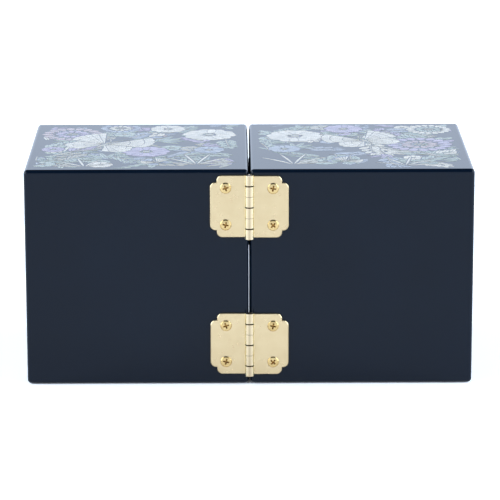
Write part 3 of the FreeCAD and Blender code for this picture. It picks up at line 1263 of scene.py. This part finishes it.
@dataclass
class ShellInlay:
    """A field of shell: motifs in order, each sawn out of what lies under it."""

    name: str
    body: str
    field: Field
    spots: Sequence[Spot]
    clearings: Sequence[Tile] = ()

    def layers(self) -> list[tuple[Tile, bool]]:
        """Every outline to cut, from the lowest up, and whether it is shell.

        Returns:
            Pairs of a tile and True, or of a clearing or moat and False.
        """
        made = []
        for spot in self.spots:
            kept = [tile for tile in spot.tiles() if self.field.holds(tile)]
            made += [(tile.grown(MOAT), False) for tile in kept]
            made += [(tile, True) for tile in kept]
        return made + [(tile, False) for tile in self.clearings]

    def build(self) -> bpy.types.Object:
        """Saws the field into one mesh of closed flat pieces.

        Returns:
            The inlay, riding on its body.
        """
        layers = self.layers()
        points, faces = [], []
        for tile, _ in layers:
            outline = turned_outwards(tile.outline)
            faces.append(list(range(len(points), len(points) + len(outline))))
            points += [Vector((p.real, p.imag)) for p in outline]
        corners, _, triangles, _, _, sources = delaunay_2d_cdt(points, [], faces, 1, 1e-4)
        kept = []
        for triangle, source in zip(triangles, sources):
            if source and layers[max(source)][1]:
                kept.append((triangle, max(source)))
        bm = bmesh.new()
        shade = bm.faces.layers.float.new("cut")
        top, low = {}, {}
        sides: dict[tuple[int, int], int] = {}
        for triangle, owner in kept:
            for corner in triangle:
                if corner not in top:
                    top[corner] = bm.verts.new(self.field.place(corners[corner], self.field.proud))
                    low[corner] = bm.verts.new(self.field.place(corners[corner], -self.field.sunk))
            for i, corner in enumerate(triangle):
                sides[corner, triangle[(i + 1) % len(triangle)]] = owner
        for triangle, owner in kept:
            self.add_face(bm, shade, [top[c] for c in triangle], owner, layers)
            self.add_face(bm, shade, [low[c] for c in reversed(triangle)], owner, layers)
        for (a, b), owner in sides.items():
            if (b, a) not in sides:
                self.add_face(bm, shade, [top[b], top[a], low[a], low[b]], owner, layers)
        piece = new_piece(self.name, bm, *(SHELL[tone] for tone in Tone))
        return settle(piece, self.body)

    @staticmethod
    def add_face(
        bm: bmesh.types.BMesh, shade: bmesh.types.BMLayerItem, verts: list[bmesh.types.BMVert],
        owner: int, layers: Sequence[tuple[Tile, bool]],
    ) -> None:
        """Adds one face in its tile's tone, with the tile's own random shade.

        Args:
            bm: the inlay's mesh.
            shade: the layer that keeps the shade of each cut.
            verts: the face's corners.
            owner: number of the tile that the face belongs to.
            layers: all tiles and moats, in order.
        """
        face = bm.faces.new(verts)
        face.material_index = layers[owner][0].tone.value
        face[shade] = random.Random(owner).random()


@dataclass(frozen=True)
class Undergrowth:
    """Small leaves and blossoms strewn under the main motifs, denser away from the near edge."""

    seed: int
    width: float
    height: float
    count: int
    clear_below: float = 11.0

    def spots(self) -> list[Spot]:
        """The strewn motifs.

        Returns:
            Spots in a random order that is the same on every run.
        """
        draw = random.Random(self.seed)
        tones = (*[Tone.TEAL] * 5, *[Tone.BLUE] * 3, Tone.GOLD, Tone.LILAC, Tone.PEARL)
        made = []
        for _ in range(self.count):
            x, y = draw.uniform(4, self.width - 4), draw.uniform(4, self.height - 4)
            turn = draw.uniform(0, 360)
            kind = draw.random()
            tone = draw.choice(tones)
            length = draw.uniform(14, 22)
            bend = draw.uniform(-50, 50)
            if y < self.clear_below:
                continue
            if kind < 0.6:
                made.append(Spot(LeafSpray(length, 4, 9.5, 0.4, bend, tone), x, y, turn))
            elif kind < 0.8:
                made.append(Spot(Bamboo(length * 0.85, 5, 100, tone), x, y, turn))
            else:
                made.append(Spot(Blossom(length * 0.32, tone, Tone.GOLD, 5, 1), x, y, turn))
        return made


# Sub-assemblies

@dataclass(frozen=True)
class CaseShell:
    """One cube's case: glued panels that the lacquer joins into a single skin."""

    side: Side
    edge_radius: float = 2.0 * MM
    edge_steps: int = 7
    wall: float = 7.0 * MM
    rim_radius: float = 0.6 * MM
    rim_steps: int = 4
    polish: float = 0.05 * MM       # lacquer rubbed down below the shell
    felt_inset: float = 4.8 * MM
    felt_recess: float = 0.7 * MM
    felt_draft: float = 0.1 * MM

    @property
    def panels(self) -> list[str]:
        """The CAD panels that the skin covers."""
        names = ("top_panel", "bottom_panel", "inner_side", "outer_side", "back_panel")
        return [f"{self.side.label}_{name}" for name in names]

    def box(self) -> tuple[Vector, Vector]:
        """Room that the panels take up together.

        Returns:
            Lowest and highest corner of the case.
        """
        boxes = [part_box(node) for node in self.panels]
        low = Vector([min(b[0][i] for b in boxes) for i in range(3)])
        high = Vector([max(b[1][i] for b in boxes) for i in range(3)])
        return low, high

    def build(self) -> bpy.types.Object:
        """Makes the hollow skin, with rounded outside edges and an eased front rim.

        Returns:
            The skin, standing for the five panels.
        """
        low, high = self.box()
        high = high - Z_AXIS * self.polish
        bm = bmesh.new()
        bmesh.ops.create_cube(bm, size=1)
        size = high - low
        for vert in bm.verts:
            vert.co = (low + high) / 2 + Vector([c * s for c, s in zip(vert.co, size)])
        bmesh.ops.bevel(
            bm, geom=bm.edges[:], offset=self.edge_radius, segments=self.edge_steps,
            profile=0.5, affect="EDGES")
        front = max(bm.faces, key=lambda face: face.calc_center_median().y * face.calc_area())
        bm.normal_update()
        sides = [face for face in bm.faces if abs(face.normal.x) > 0.999]
        min(sides, key=lambda face: abs(face.calc_center_median().x)).material_index = 1
        flats = [face for face in bm.faces if abs(face.normal.z) > 0.999]
        base = min(flats, key=lambda face: face.calc_center_median().z)
        self.hollow(bm, front, size.y)
        shrink_face(bm, base, self.felt_inset - self.edge_radius)
        shrink_face(bm, base, self.felt_draft, self.felt_recess)
        piece = new_piece(f"{self.side.label}_case_shell", bm, LACQUER, DULL_LACQUER)
        smooth(piece)
        return settle(piece, self.side.body, self.panels)

    def hollow(self, bm: bmesh.types.BMesh, face: bmesh.types.BMFace, depth: float) -> None:
        """Sinks the front face to the back panel, rolling over the rim on the way.

        Args:
            bm: the solid block.
            face: its front face.
            depth: of the block.
        """
        start = self.wall - self.edge_radius - self.rim_radius
        shrink_face(bm, face, start)
        turns = [math.pi / 2 * i / self.rim_steps for i in range(self.rim_steps + 1)]
        for before, after in zip(turns, turns[1:]):
            inward = self.rim_radius * (math.sin(after) - math.sin(before))
            down = self.rim_radius * (math.cos(before) - math.cos(after))
            shrink_face(bm, face, inward, down)
        sunk = bmesh.ops.extrude_discrete_faces(bm, faces=[face])["faces"][0]
        for vert in sunk.verts:
            vert.co.y -= depth - self.wall - self.rim_radius


@dataclass(frozen=True)
class Case:
    """One cube: the lacquered skin, the shelf, the felt and the inlaid top."""

    side: Side
    shell: CaseShell
    inlay_spots: tuple[Spot, ...]
    felt_edge: float = 0.35 * MM
    felt_corner: float = 4.0 * MM
    strip_thickness: float = 0.3 * MM
    strip_width: float = 8.0 * MM
    strip_front: float = 6.0 * MM   # how far it stays behind the case's front edge
    strip_heights: tuple[float, float] = (46.6 * MM, 94.0 * MM)

    def build(self) -> None:
        """Builds and dresses the case."""
        self.shell.build()
        dress(f"{self.side.label}_drawer_shelf", LACQUER)
        self.build_felt()
        self.build_strip()
        self.build_top()

    def build_felt(self) -> None:
        """The felt sheet, its cut edge a little soft."""
        node = f"{self.side.label}_base_felt"
        low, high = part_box(node)
        edge = self.felt_edge
        rings = []
        levels = ((edge, low.z), (0.0, low.z + edge), (0.0, high.z - edge), (edge * 0.4, high.z))
        for inset, z in levels:
            loop = rounded_rectangle(
                (low.x + inset, low.y + inset), (high.x - inset, high.y - inset),
                self.felt_corner - inset, 8)
            rings.append([Vector((x, y, z)) for x, y in loop])
        piece = new_piece(f"{self.side.label}_felt_sheet", loft(rings), FELT)
        smooth(piece, 50)
        settle(piece, self.side.body, [node])

    def build_strip(self) -> None:
        """The thin felt strip on the inner face that keeps the closed cubes from knocking."""
        low, high = self.shell.box()
        face = min(abs(low.x), abs(high.x))
        back = high.y - self.strip_front - self.strip_width
        bottom, top = self.strip_heights
        rings = []
        for inset, away in ((0.0, 0.0), (0.0, 0.6), (0.1 * MM, 0.9), (0.3 * MM, 1.0)):
            x = self.side.value * (face - self.strip_thickness * away)
            loop = rounded_rectangle(
                (back + inset, bottom + inset), (back + self.strip_width - inset, top - inset),
                self.strip_width / 2 - inset, 10)
            rings.append([Vector((x, y, z)) for y, z in loop])
        piece = new_piece(f"{self.side.label}_bumper_strip", loft(rings), FELT)
        smooth(piece, 50)
        settle(piece, self.side.body)

    def build_top(self) -> None:
        """The shell inlay in the top."""
        low, high = self.shell.box()
        corner = Vector((low.x, low.y, high.z - self.shell.polish))
        field = Field(corner, X_AXIS, Y_AXIS, (high.x - low.x) / MM, (high.y - low.y) / MM)
        ShellInlay(f"{self.side.label}_top_inlay", self.side.body, field, self.inlay_spots).build()


@dataclass(frozen=True)
class Knob:
    """A turned brass knob."""

    head: float = 5.0 * MM
    base: float = 4.2 * MM
    neck: float = 2.4 * MM
    length: float = 11.0 * MM
    steps: int = 48

    def profile(self) -> list[tuple[float, float]]:
        """Radius and height of the turned outline, from the seat to the crown.

        Returns:
            The outline, with a beaded foot, a waist, a rim and a domed crown.
        """
        foot = [(0.0, 0.0), (self.base, 0.0)]
        foot += arc((self.base - 0.45 * MM, 0.75 * MM), 0.45 * MM, 0, 90, 4)
        waist = [
            (self.neck + 0.5 * MM, 1.5 * MM), (self.neck + 0.1 * MM, 2.1 * MM),
            (self.neck, 3.0 * MM), (self.neck, 4.2 * MM), (self.neck + 0.25 * MM, 5.2 * MM),
            (self.neck + 0.95 * MM, 6.3 * MM), (self.head - 0.6 * MM, 7.2 * MM)]
        rim = arc((self.head - 0.45 * MM, 7.95 * MM), 0.45 * MM, -50, 70, 6)
        groove = [(self.head - 0.75 * MM, 8.45 * MM), (self.head - 0.95 * MM, 8.75 * MM)]
        rise = self.length - 8.75 * MM
        width = self.head - 0.95 * MM
        turns = [math.pi / 2 * i / 8 for i in range(1, 8)]
        crown = [(width * math.cos(t), 8.75 * MM + rise * math.sin(t)) for t in turns]
        return foot + waist + rim + groove + crown + [(0.0, self.length)]

    def build(self, name: str, seat: Vector, body: str, node: str) -> None:
        """Turns the knob and screws it to a drawer front.

        Args:
            name: the piece's name.
            seat: centre of its foot on the drawer front.
            body: the drawer's body.
            node: the CAD knob that it stands for.
        """
        bm = lathe(self.profile(), self.steps)
        place = Matrix.Translation(seat) @ Matrix.Rotation(math.radians(-90), 4, "X")
        bmesh.ops.transform(bm, matrix=place, verts=bm.verts)
        piece = new_piece(name, bm, KNOB_BRASS)
        smooth(piece, 50)
        settle(piece, body, [node])


@dataclass(frozen=True)
class VelvetTray:
    """The velvet-covered card tray in a drawer."""

    wall: float = 1.2 * MM
    roll: float = 0.55 * MM         # rounding of the velvet over the top edge
    outer_corner: float = 0.6 * MM
    inner_corner: float = 1.4 * MM
    floor_fillet: float = 0.8 * MM

    def build(self, name: str, node: str, body: str) -> None:
        """Makes the tray in one closed skin.

        Args:
            name: the piece's name.
            node: the CAD lining that it stands for.
            body: the drawer's body.
        """
        low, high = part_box(node)
        rings = []
        for inset, z, corner in self.section(low.z, high.z):
            loop = rounded_rectangle(
                (low.x + inset, low.y + inset), (high.x - inset, high.y - inset), corner, 6)
            rings.append([Vector((x, y, z)) for x, y in loop])
        piece = new_piece(name, loft(rings), VELVET)
        smooth(piece, 60)
        settle(piece, body, [node])

    def section(self, floor: float, top: float) -> list[tuple[float, float, float]]:
        """The wall's section, from the outside foot over the top to the inside floor.

        Args:
            floor: height of the tray's underside.
            top: height of its upper edge.

        Returns:
            Inset, height and corner radius of each ring.
        """
        made = [(0.0, floor, self.outer_corner)]
        half = self.wall / 2
        for step in range(9):
            turn = math.pi * (1 - step / 8)
            inset = half + half * math.cos(turn)
            corner = self.outer_corner + (self.inner_corner - self.outer_corner) * step / 8
            made.append((inset, top - self.roll + self.roll * math.sin(turn), corner))
        low = floor + self.wall
        for step in range(5):
            turn = math.pi / 2 * step / 4
            inset = self.wall + self.floor_fillet * (1 - math.cos(turn))
            z = low + self.floor_fillet * (1 - math.sin(turn))
            made.append((inset, z, self.inner_corner))
        return made


@dataclass(frozen=True)
class PaddedFloor:
    """The loose velvet pad, blown up by a cloth simulation like wadding in its cover."""

    voxel: float = 1.7 * MM
    slack: float = 0.7 * MM         # how much smaller the cover starts
    pressure: float = 4.0
    frames: int = 20
    cap: float = 1.1 * MM           # most that a point may move
    corner: float = 4.0 * MM
    fill: float = 0.7

    def start(self, low: Vector, high: Vector) -> bpy.types.Object:
        """The flat cover before it is filled.

        Args:
            low: lowest corner of the pad's room.
            high: its highest corner.

        Returns:
            A remeshed closed slab, slightly smaller than its room.
        """
        rings = []
        height = high.z - low.z - self.slack
        for share, inset in ((0.0, 1.0), (0.18, 0.3), (0.5, 0.0), (0.82, 0.4), (1.0, 1.4)):
            inset = self.slack + inset * MM
            loop = rounded_rectangle(
                (low.x + inset, low.y + inset), (high.x - inset, high.y - inset),
                self.corner, 6)
            rings.append([Vector((x, y, low.z + height * share)) for x, y in loop])
        slab = new_piece("pad_start", loft(rings), VELVET)
        meshed = slab.modifiers.new("even_cells", "REMESH")
        meshed.mode = "VOXEL"
        meshed.voxel_size = self.voxel
        return slab

    def fill_cover(self, slab: bpy.types.Object) -> bpy.types.Mesh:
        """Runs the cloth simulation.

        Args:
            slab: the remeshed slab.

        Returns:
            The filled cover, with no point moved past the cap.
        """
        scene = bpy.context.scene
        graph = bpy.context.evaluated_depsgraph_get()
        rest = bpy.data.meshes.new_from_object(slab.evaluated_get(graph))
        cover = bpy.data.objects.new("pad_cover", rest)
        scene.collection.objects.link(cover)
        bpy.data.objects.remove(slab)
        floor = min(v.co.z for v in rest.vertices) + 0.3 * MM
        stuck = cover.vertex_groups.new(name="stuck")
        stuck.add([v.index for v in rest.vertices if v.co.z < floor], 1.0, "REPLACE")
        cloth = cover.modifiers.new("cover", "CLOTH")
        cloth.settings.vertex_group_mass = "stuck"
        cloth.settings.use_pressure = True
        cloth.settings.uniform_pressure_force = self.pressure
        cloth.settings.effector_weights.gravity = 0.0
        cloth.settings.mass = 0.15
        cloth.settings.tension_stiffness = 6.0
        cloth.settings.compression_stiffness = 6.0
        cloth.settings.bending_stiffness = 0.3
        cloth.point_cache.frame_end = self.frames
        for number in range(1, self.frames + 1):
            scene.frame_set(number)
        graph = bpy.context.evaluated_depsgraph_get()
        filled = bpy.data.meshes.new_from_object(cover.evaluated_get(graph))
        for before, after in zip(rest.vertices, filled.vertices):
            move = after.co - before.co
            if move.length > self.cap:
                after.co = before.co + move.normalized() * self.cap
        bpy.data.objects.remove(cover)
        scene.frame_set(1)
        return filled

    def build(self, low: Vector, high: Vector) -> bpy.types.Mesh:
        """Fills the pad and keeps it inside its room.

        Args:
            low: lowest corner of the room.
            high: its highest corner.

        Returns:
            The pad's mesh, with the room's lowest corner at the origin.
        """
        mesh = self.fill_cover(self.start(low, high))
        for vert in mesh.vertices:
            vert.co = Vector([min(max(c, a), b) for c, a, b in zip(vert.co, low, high)]) - low
        mesh.shade_smooth()
        return mesh


@dataclass(frozen=True)
class Drawer:
    """One drawer: stained boards, a lacquered and inlaid front, lining, pad and knob."""

    side: Side
    tier: Tier
    knob: Knob
    tray: VelvetTray
    pad: PaddedFloor
    pad_mesh: bpy.types.Mesh
    inlay_spots: tuple[Spot, ...]
    knob_clearing: float = 6.2      # bare lacquer round the knob, in millimetres

    @property
    def label(self) -> str:
        """The drawer's name in the frame, without the word drawer."""
        return f"{self.side.label}_{self.tier.label}"

    @property
    def body(self) -> str:
        """The drawer's body in the frame."""
        return f"{self.label}_drawer"

    def build(self) -> None:
        """Builds and dresses the drawer."""
        for board in ("inner_side", "outer_side", "back", "bottom"):
            dress(f"{self.body}_{board}", BEECH)
        dress(f"{self.body}_front", LACQUER)
        dress(f"{self.label}_knob_screw", ZINC)
        self.tray.build(f"{self.body}_tray", f"{self.body}_lining", self.body)
        self.build_pad()
        low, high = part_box(f"{self.label}_knob")
        seat = Vector(((low.x + high.x) / 2, low.y, (low.z + high.z) / 2))
        self.knob.build(f"{self.label}_turned_knob", seat, self.body, f"{self.label}_knob")
        self.build_front(seat)

    def build_pad(self) -> None:
        """Lays the shared pad in this drawer, turned round in every second one."""
        node = f"{self.body}_pad"
        low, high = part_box(node)
        mesh = self.pad_mesh.copy()
        if (self.side.value * (1 - 2 * self.tier.value)) > 0:
            centre = Vector(((high.x - low.x) / 2, (high.y - low.y) / 2, 0))
            swing = Matrix.Translation(centre) @ Matrix.Rotation(math.pi, 4, "Z")
            mesh.transform(swing @ Matrix.Translation(-centre))
        mesh.transform(Matrix.Translation(low))
        piece = new_piece(f"{self.body}_velvet_pad", mesh, VELVET)
        piece.modifiers.new("soft", "SUBSURF").levels = 1
        piece.modifiers["soft"].render_levels = 1
        settle(piece, self.body, [node])

    def build_front(self, seat: Vector) -> None:
        """The shell inlay in the drawer front, clear of the knob.

        Args:
            seat: centre of the knob's foot.
        """
        low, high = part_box(f"{self.body}_front")
        width, height = (high.x - low.x) / MM, (high.z - low.z) / MM
        field = Field(Vector((high.x, high.y, low.z)), -X_AXIS, Z_AXIS, width, height, 3.0)
        hole = disc(
            complex((high.x - seat.x) / MM, (seat.z - low.z) / MM),
            self.knob_clearing, Tone.PEARL, 24)
        ShellInlay(f"{self.body}_inlay", self.body, field, self.inlay_spots, [hole]).build()


@dataclass(frozen=True)
class HingeScrew:
    """A raised countersunk wood screw with a cross recess."""

    head: float = 2.8 * MM
    rise: float = 0.7 * MM
    shank: float = 1.6 * MM
    length: float = 7.0 * MM
    recess: float = 3.0 * MM
    recess_width: float = 0.75 * MM
    recess_foot: float = 0.5        # share of the recess's size left at its bottom
    recess_depth: float = 1.3 * MM
    steps: int = 40

    def profile(self) -> list[tuple[float, float]]:
        """Radius and height from the point up over the shank and cone to the crown.

        Returns:
            The outline, with the head's edge at height 0.
        """
        cone = self.head - self.shank
        made = [(0.0, -self.length), (self.shank, 1.2 * MM - self.length), (self.shank, -cone)]
        width = self.head - 0.12 * MM
        base = 0.16 * MM
        made += [(self.head, -0.04 * MM), (self.head, 0.05 * MM), (width, base)]
        for step in range(1, 8):
            turn = math.pi / 2 * step / 8
            made.append((width * math.cos(turn), base + (self.rise - base) * math.sin(turn)))
        return made + [(0.0, self.rise)]

    def cutter(self) -> bmesh.types.BMesh:
        """Shapes the punch for the recess.

        Returns:
            A tapered cross of two blades.
        """
        bm = bmesh.new()
        levels = ((1.25, self.rise * 1.5), (self.recess_foot, self.rise - self.recess_depth))
        for crossed in (False, True):
            ends = []
            for size, z in levels:
                x, y = self.recess / 2 * size, self.recess_width / 2 * size
                corners = [(-x, -y), (x, -y), (x, y), (-x, y)]
                if crossed:
                    corners = [(b, -a) for a, b in corners]
                ends.append([bm.verts.new((a, b, z)) for a, b in corners])
            for i in range(4):
                j = (i + 1) % 4
                bm.faces.new((ends[0][i], ends[0][j], ends[1][j], ends[1][i]))
            bm.faces.new(ends[0])
            bm.faces.new(ends[1])
        return bm

    def mesh(self) -> bpy.types.Mesh:
        """Turns the screw and sinks the recess.

        Returns:
            The screw's mesh, its axis along Z and its head up.
        """
        turned = lathe(self.profile(), self.steps)
        screw = new_piece("screw_turned", turned, SCREW_BRASS, RECESS_BRASS_PAINTED_SHADE)
        knife = self.cutter()
        # The recess takes the darker brass, painted shade
        for face in knife.faces:
            face.material_index = 1
        tool = new_piece("recess_cutter", knife, SCREW_BRASS, RECESS_BRASS_PAINTED_SHADE)
        cut = screw.modifiers.new("recess", "BOOLEAN")
        cut.operation = "DIFFERENCE"
        cut.solver = "EXACT"
        cut.use_self = True
        cut.object = tool
        graph = bpy.context.evaluated_depsgraph_get()
        made = bpy.data.meshes.new_from_object(screw.evaluated_get(graph))
        bpy.data.objects.remove(screw)
        bpy.data.objects.remove(tool)
        return made


@dataclass(frozen=True)
class Hinge:
    """One brass surface hinge with its pin and four screws."""

    label: str
    screw: HingeScrew
    screw_mesh: bpy.types.Mesh
    first_turn: float = 18.0        # degrees, as the driver left the screws
    turn_step: float = 31.0

    def build(self) -> None:
        """Dresses the leaves and the pin, and drives in the screws."""
        dress(f"{self.label}_hinge_pin", PIN_BRASS)
        for side in Side:
            dress(f"{self.label}_hinge_{side.label}_leaf", LEAF_BRASS, 30)
            self.build_screws(side)

    def build_screws(self, side: Side) -> None:
        """The two screws of one leaf, in one piece.

        Args:
            side: the cube that the leaf is screwed to.
        """
        node = f"{self.label}_hinge_{side.label}_screws"
        low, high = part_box(node)
        surface = low.y + self.screw.rise
        bm = bmesh.new()
        for number, z in enumerate((low.z + self.screw.head, high.z - self.screw.head)):
            turn = self.first_turn + self.turn_step * (number + side.value)
            place = Matrix.Translation(((low.x + high.x) / 2, surface, z))
            place @= Matrix.Rotation(math.radians(90), 4, "X")
            place @= Matrix.Rotation(math.radians(turn), 4, "Z")
            copy = self.screw_mesh.copy()
            copy.transform(place)
            bm.from_mesh(copy)
            bpy.data.meshes.remove(copy)
        piece = new_piece(
            f"{self.label}_hinge_{side.label}_wood_screws", bm, SCREW_BRASS, RECESS_BRASS_PAINTED_SHADE)
        smooth(piece, 40)
        settle(piece, side.body, [node])


@dataclass(frozen=True)
class Studio:
    """Plain white sweep, soft lights and the photo's camera."""

    floor_size: float = 30.0
    horizon: str = "#D9E8FF"
    horizon_strength: float = 1.86
    ceiling: str = "#343C46"
    horizon_to: float = 0.22        # height on the unit sphere up to which the room is bright
    ceiling_from: float = 0.45      # and from which it is dark
    softbox_at: tuple[float, float] = (-0.1, 0.8)       # y and z
    softbox_out: float = 1.9
    softbox_size: tuple[float, float] = (3.2, 2.4)
    softbox_power: float = 112.0
    softbox_tint: str = "#DCECFF"
    camera_at: tuple[float, float, float] = (-8.44 * MM, -1476.6 * MM, 424.2 * MM)
    camera_down: float = 14.045
    camera_right: float = 0.353
    camera_roll: float = -0.096
    lens: float = 210.0
    sensor: float = 36.0

    def build(self) -> None:
        """Sets up the room."""
        self.build_floor()
        self.build_world()
        for hand in (-1, 1):
            self.build_softbox(hand)
        self.build_camera()
        view = bpy.context.scene.view_settings
        view.view_transform = "Standard"
        view.look = "None"
        view.exposure = 0.0
        view.gamma = 1.0

    def build_floor(self) -> None:
        """The white sheet that the box stands on."""
        bm = bmesh.new()
        bmesh.ops.create_grid(bm, x_segments=1, y_segments=1, size=self.floor_size / 2)
        floor = new_piece("floor", bm, PAPER)

    def build_world(self) -> None:
        """A room that is bright low down and dark overhead."""
        world = bpy.data.worlds.new("studio_room")
        world.use_nodes = True
        bpy.context.scene.world = world
        tree = world.node_tree
        tree.nodes.clear()
        way = add_node(tree, "TexCoord").outputs["Generated"]
        height = add_node(tree, "SeparateXYZ", {"Vector": way}).outputs["Z"]
        rise = Finish.spread(tree, height, self.horizon_to, self.ceiling_from)
        colour = Finish.blend(tree, rise, linear(self.horizon), linear(self.ceiling))
        light = add_node(tree, "Background", {"Color": colour, "Strength": self.horizon_strength})
        add_node(tree, "OutputWorld", {"Surface": light.outputs["Background"]})

    def build_softbox(self, hand: int) -> None:
        """One large soft light at the side.

        Args:
            hand: -1 for the left-hand light and 1 for the right-hand one.
        """
        data = bpy.data.lights.new(f"softbox_{'left' if hand < 0 else 'right'}", "AREA")
        data.shape = "RECTANGLE"
        data.size, data.size_y = self.softbox_size
        data.energy = self.softbox_power
        data.color = linear(self.softbox_tint)[:3]
        lamp = bpy.data.objects.new(data.name, data)
        lamp.location = (hand * self.softbox_out, *self.softbox_at)
        lamp.rotation_mode = "QUATERNION"
        lamp.rotation_quaternion = (-lamp.location).to_track_quat("-Z", "Y")
        bpy.context.scene.collection.objects.link(lamp)

    def build_camera(self) -> None:
        """The camera at the photo's place."""
        data = bpy.data.cameras.new("photo_camera")
        data.lens = self.lens
        data.sensor_width = self.sensor
        camera = bpy.data.objects.new("photo_camera", data)
        turn = Matrix.Rotation(-math.radians(self.camera_right), 3, "Z")
        turn @= Matrix.Rotation(math.radians(90 - self.camera_down), 3, "X")
        turn @= Matrix.Rotation(math.radians(self.camera_roll), 3, "Z")
        camera.location = self.camera_at
        camera.rotation_euler = turn.to_euler()
        bpy.context.scene.collection.objects.link(camera)
        bpy.context.scene.camera = camera


# Layout of the inlay, in millimetres

TOP_SIZE = (112, 115)
FRONT_WIDTH = 96.8


def top_spots(side: Side) -> tuple[Spot, ...]:
    """The motifs in one top.

    Args:
        side: which cube.

    Returns:
        The motifs, from the lowest layer up.
    """
    if side is Side.LEFT:
        figures = (
            Spot(Twig((15, 13, 14, 12, 10, 9), (24, -16, 22, -20, 18, -14), 2.2), 12, 34, 18),
            Spot(LeafSpray(26, 6, 10, 0.28, 46), 72, 30, 12),
            Spot(Orchid(27, 6), 86, 12, 0),
            Spot(Orchid(20, 5), 30, 8, 12),
            Spot(LeafSpray(22, 5, 10, 0.4, -24, Tone.TEAL), 9, 50, 66),
            Spot(Blossom(6.5, Tone.LILAC), 12, 50, 10),
            Spot(Blossom(13, Tone.LILAC), 60, 44, 20),
            Spot(Blossom(8.5, Tone.BLUE), 92, 48, 5),
            Spot(Rosette(16, Tone.ROSE, Tone.LILAC), 20, 88),
            Spot(Blossom(15, Tone.PEARL), 92, 86, 12),
            Spot(Blossom(10, Tone.PEARL), 70, 101, 40),
            Spot(Rosette(11, Tone.BLUE, Tone.PEARL), 45, 103),
            Spot(Butterfly(56, Tone.PEARL, Tone.PEARL, Tone.PEARL), 38, 62, -28),
            Spot(Butterfly(22, Tone.PEARL, Tone.TEAL, Tone.BLUE), 66, 18, 35))
        return (*Undergrowth(11, *TOP_SIZE, 90).spots(), *figures)
    figures = (
        Spot(Twig((14, 14, 12, 13, 11, 9), (-18, 20, -18, 22, -16, 14), 2.2), 98, 30, 152),
        Spot(LeafSpray(28, 6, 10, 0.28, -40), 40, 28, 168),
        Spot(Orchid(26, 6), 22, 12, 0),
        Spot(Orchid(21, 5), 78, 9, -10),
        Spot(LeafSpray(22, 5, 10, 0.4, 20, Tone.TEAL), 10, 44, 92),
        Spot(Blossom(9, Tone.BLUE), 18, 50, 30),
        Spot(Rosette(17, Tone.LILAC, Tone.ROSE), 88, 60, 8),
        Spot(Blossom(16, Tone.PEARL), 24, 82, 50),
        Spot(Blossom(11, Tone.LILAC), 50, 100, 10),
        Spot(Rosette(12, Tone.PEARL, Tone.TEAL), 95, 98),
        Spot(Butterfly(50, Tone.PEARL, Tone.PEARL, Tone.PEARL), 60, 70, 22),
        Spot(Butterfly(24, Tone.PEARL, Tone.BLUE, Tone.TEAL), 48, 20, -40))
    return (*Undergrowth(23, *TOP_SIZE, 90).spots(), *figures)


def front_spots(side: Side, tier: Tier) -> tuple[Spot, ...]:
    """The motifs in one drawer front, as seen from the front.

    Args:
        side: which cube. The two mirror each other.
        tier: which of its drawers.

    Returns:
        The motifs, from the lowest layer up.
    """
    if tier is Tier.UPPER:
        spots = (
            Spot(Twig((13, 12, 11, 10, 9), (20, -18, 16, -20, 14), 1.8), 6, 8, 12),
            Spot(LeafSpray(20, 5, 8, 0.3, -30), 72, 8, 55),
            Spot(Bamboo(15, 5, 120), 60, 36, 10),
            Spot(Blossom(8, Tone.PEARL), 24, 24, 15),
            Spot(Blossom(5.5, Tone.ROSE), 38, 34, 40),
            Spot(Butterfly(24, Tone.PEARL, Tone.TEAL, Tone.LILAC), 76, 26, 30))
    else:
        spots = (
            Spot(LeafSpray(24, 6, 8, 0.3, 36), 8, 12, 10),
            Spot(Orchid(22, 6), 80, 6, 0),
            Spot(Bamboo(14, 5, 120), 62, 10, 150),
            Spot(Rosette(9, Tone.LILAC, Tone.ROSE), 22, 28),
            Spot(Blossom(7, Tone.BLUE), 72, 32, 30),
            Spot(Blossom(5, Tone.PEARL), 38, 36, 10))
    if side is Side.LEFT:
        return spots
    return tuple(Spot(s.motif, FRONT_WIDTH - s.x, s.y, 180 - s.degrees) for s in spots)


def write_sizes() -> None:
    """Brings the scene's placements up to date."""
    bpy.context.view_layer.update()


def main() -> None:
    """Builds the box and the room, in order."""
    logging.basicConfig(level=logging.INFO, format="%(message)s")
    knob, tray, pad = Knob(), VelvetTray(), PaddedFloor()
    pad_mesh = pad.build(*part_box("right_lower_drawer_pad"))
    screw = HingeScrew()
    screw_mesh = screw.mesh()
    for side in Side:
        Case(side, CaseShell(side), top_spots(side)).build()
        for tier in Tier:
            Drawer(side, tier, knob, tray, pad, pad_mesh, front_spots(side, tier)).build()
    for label in ("upper", "lower"):
        Hinge(label, screw, screw_mesh).build()
    Studio().build()
    write_sizes()


if __name__ == "__main__":
    main()
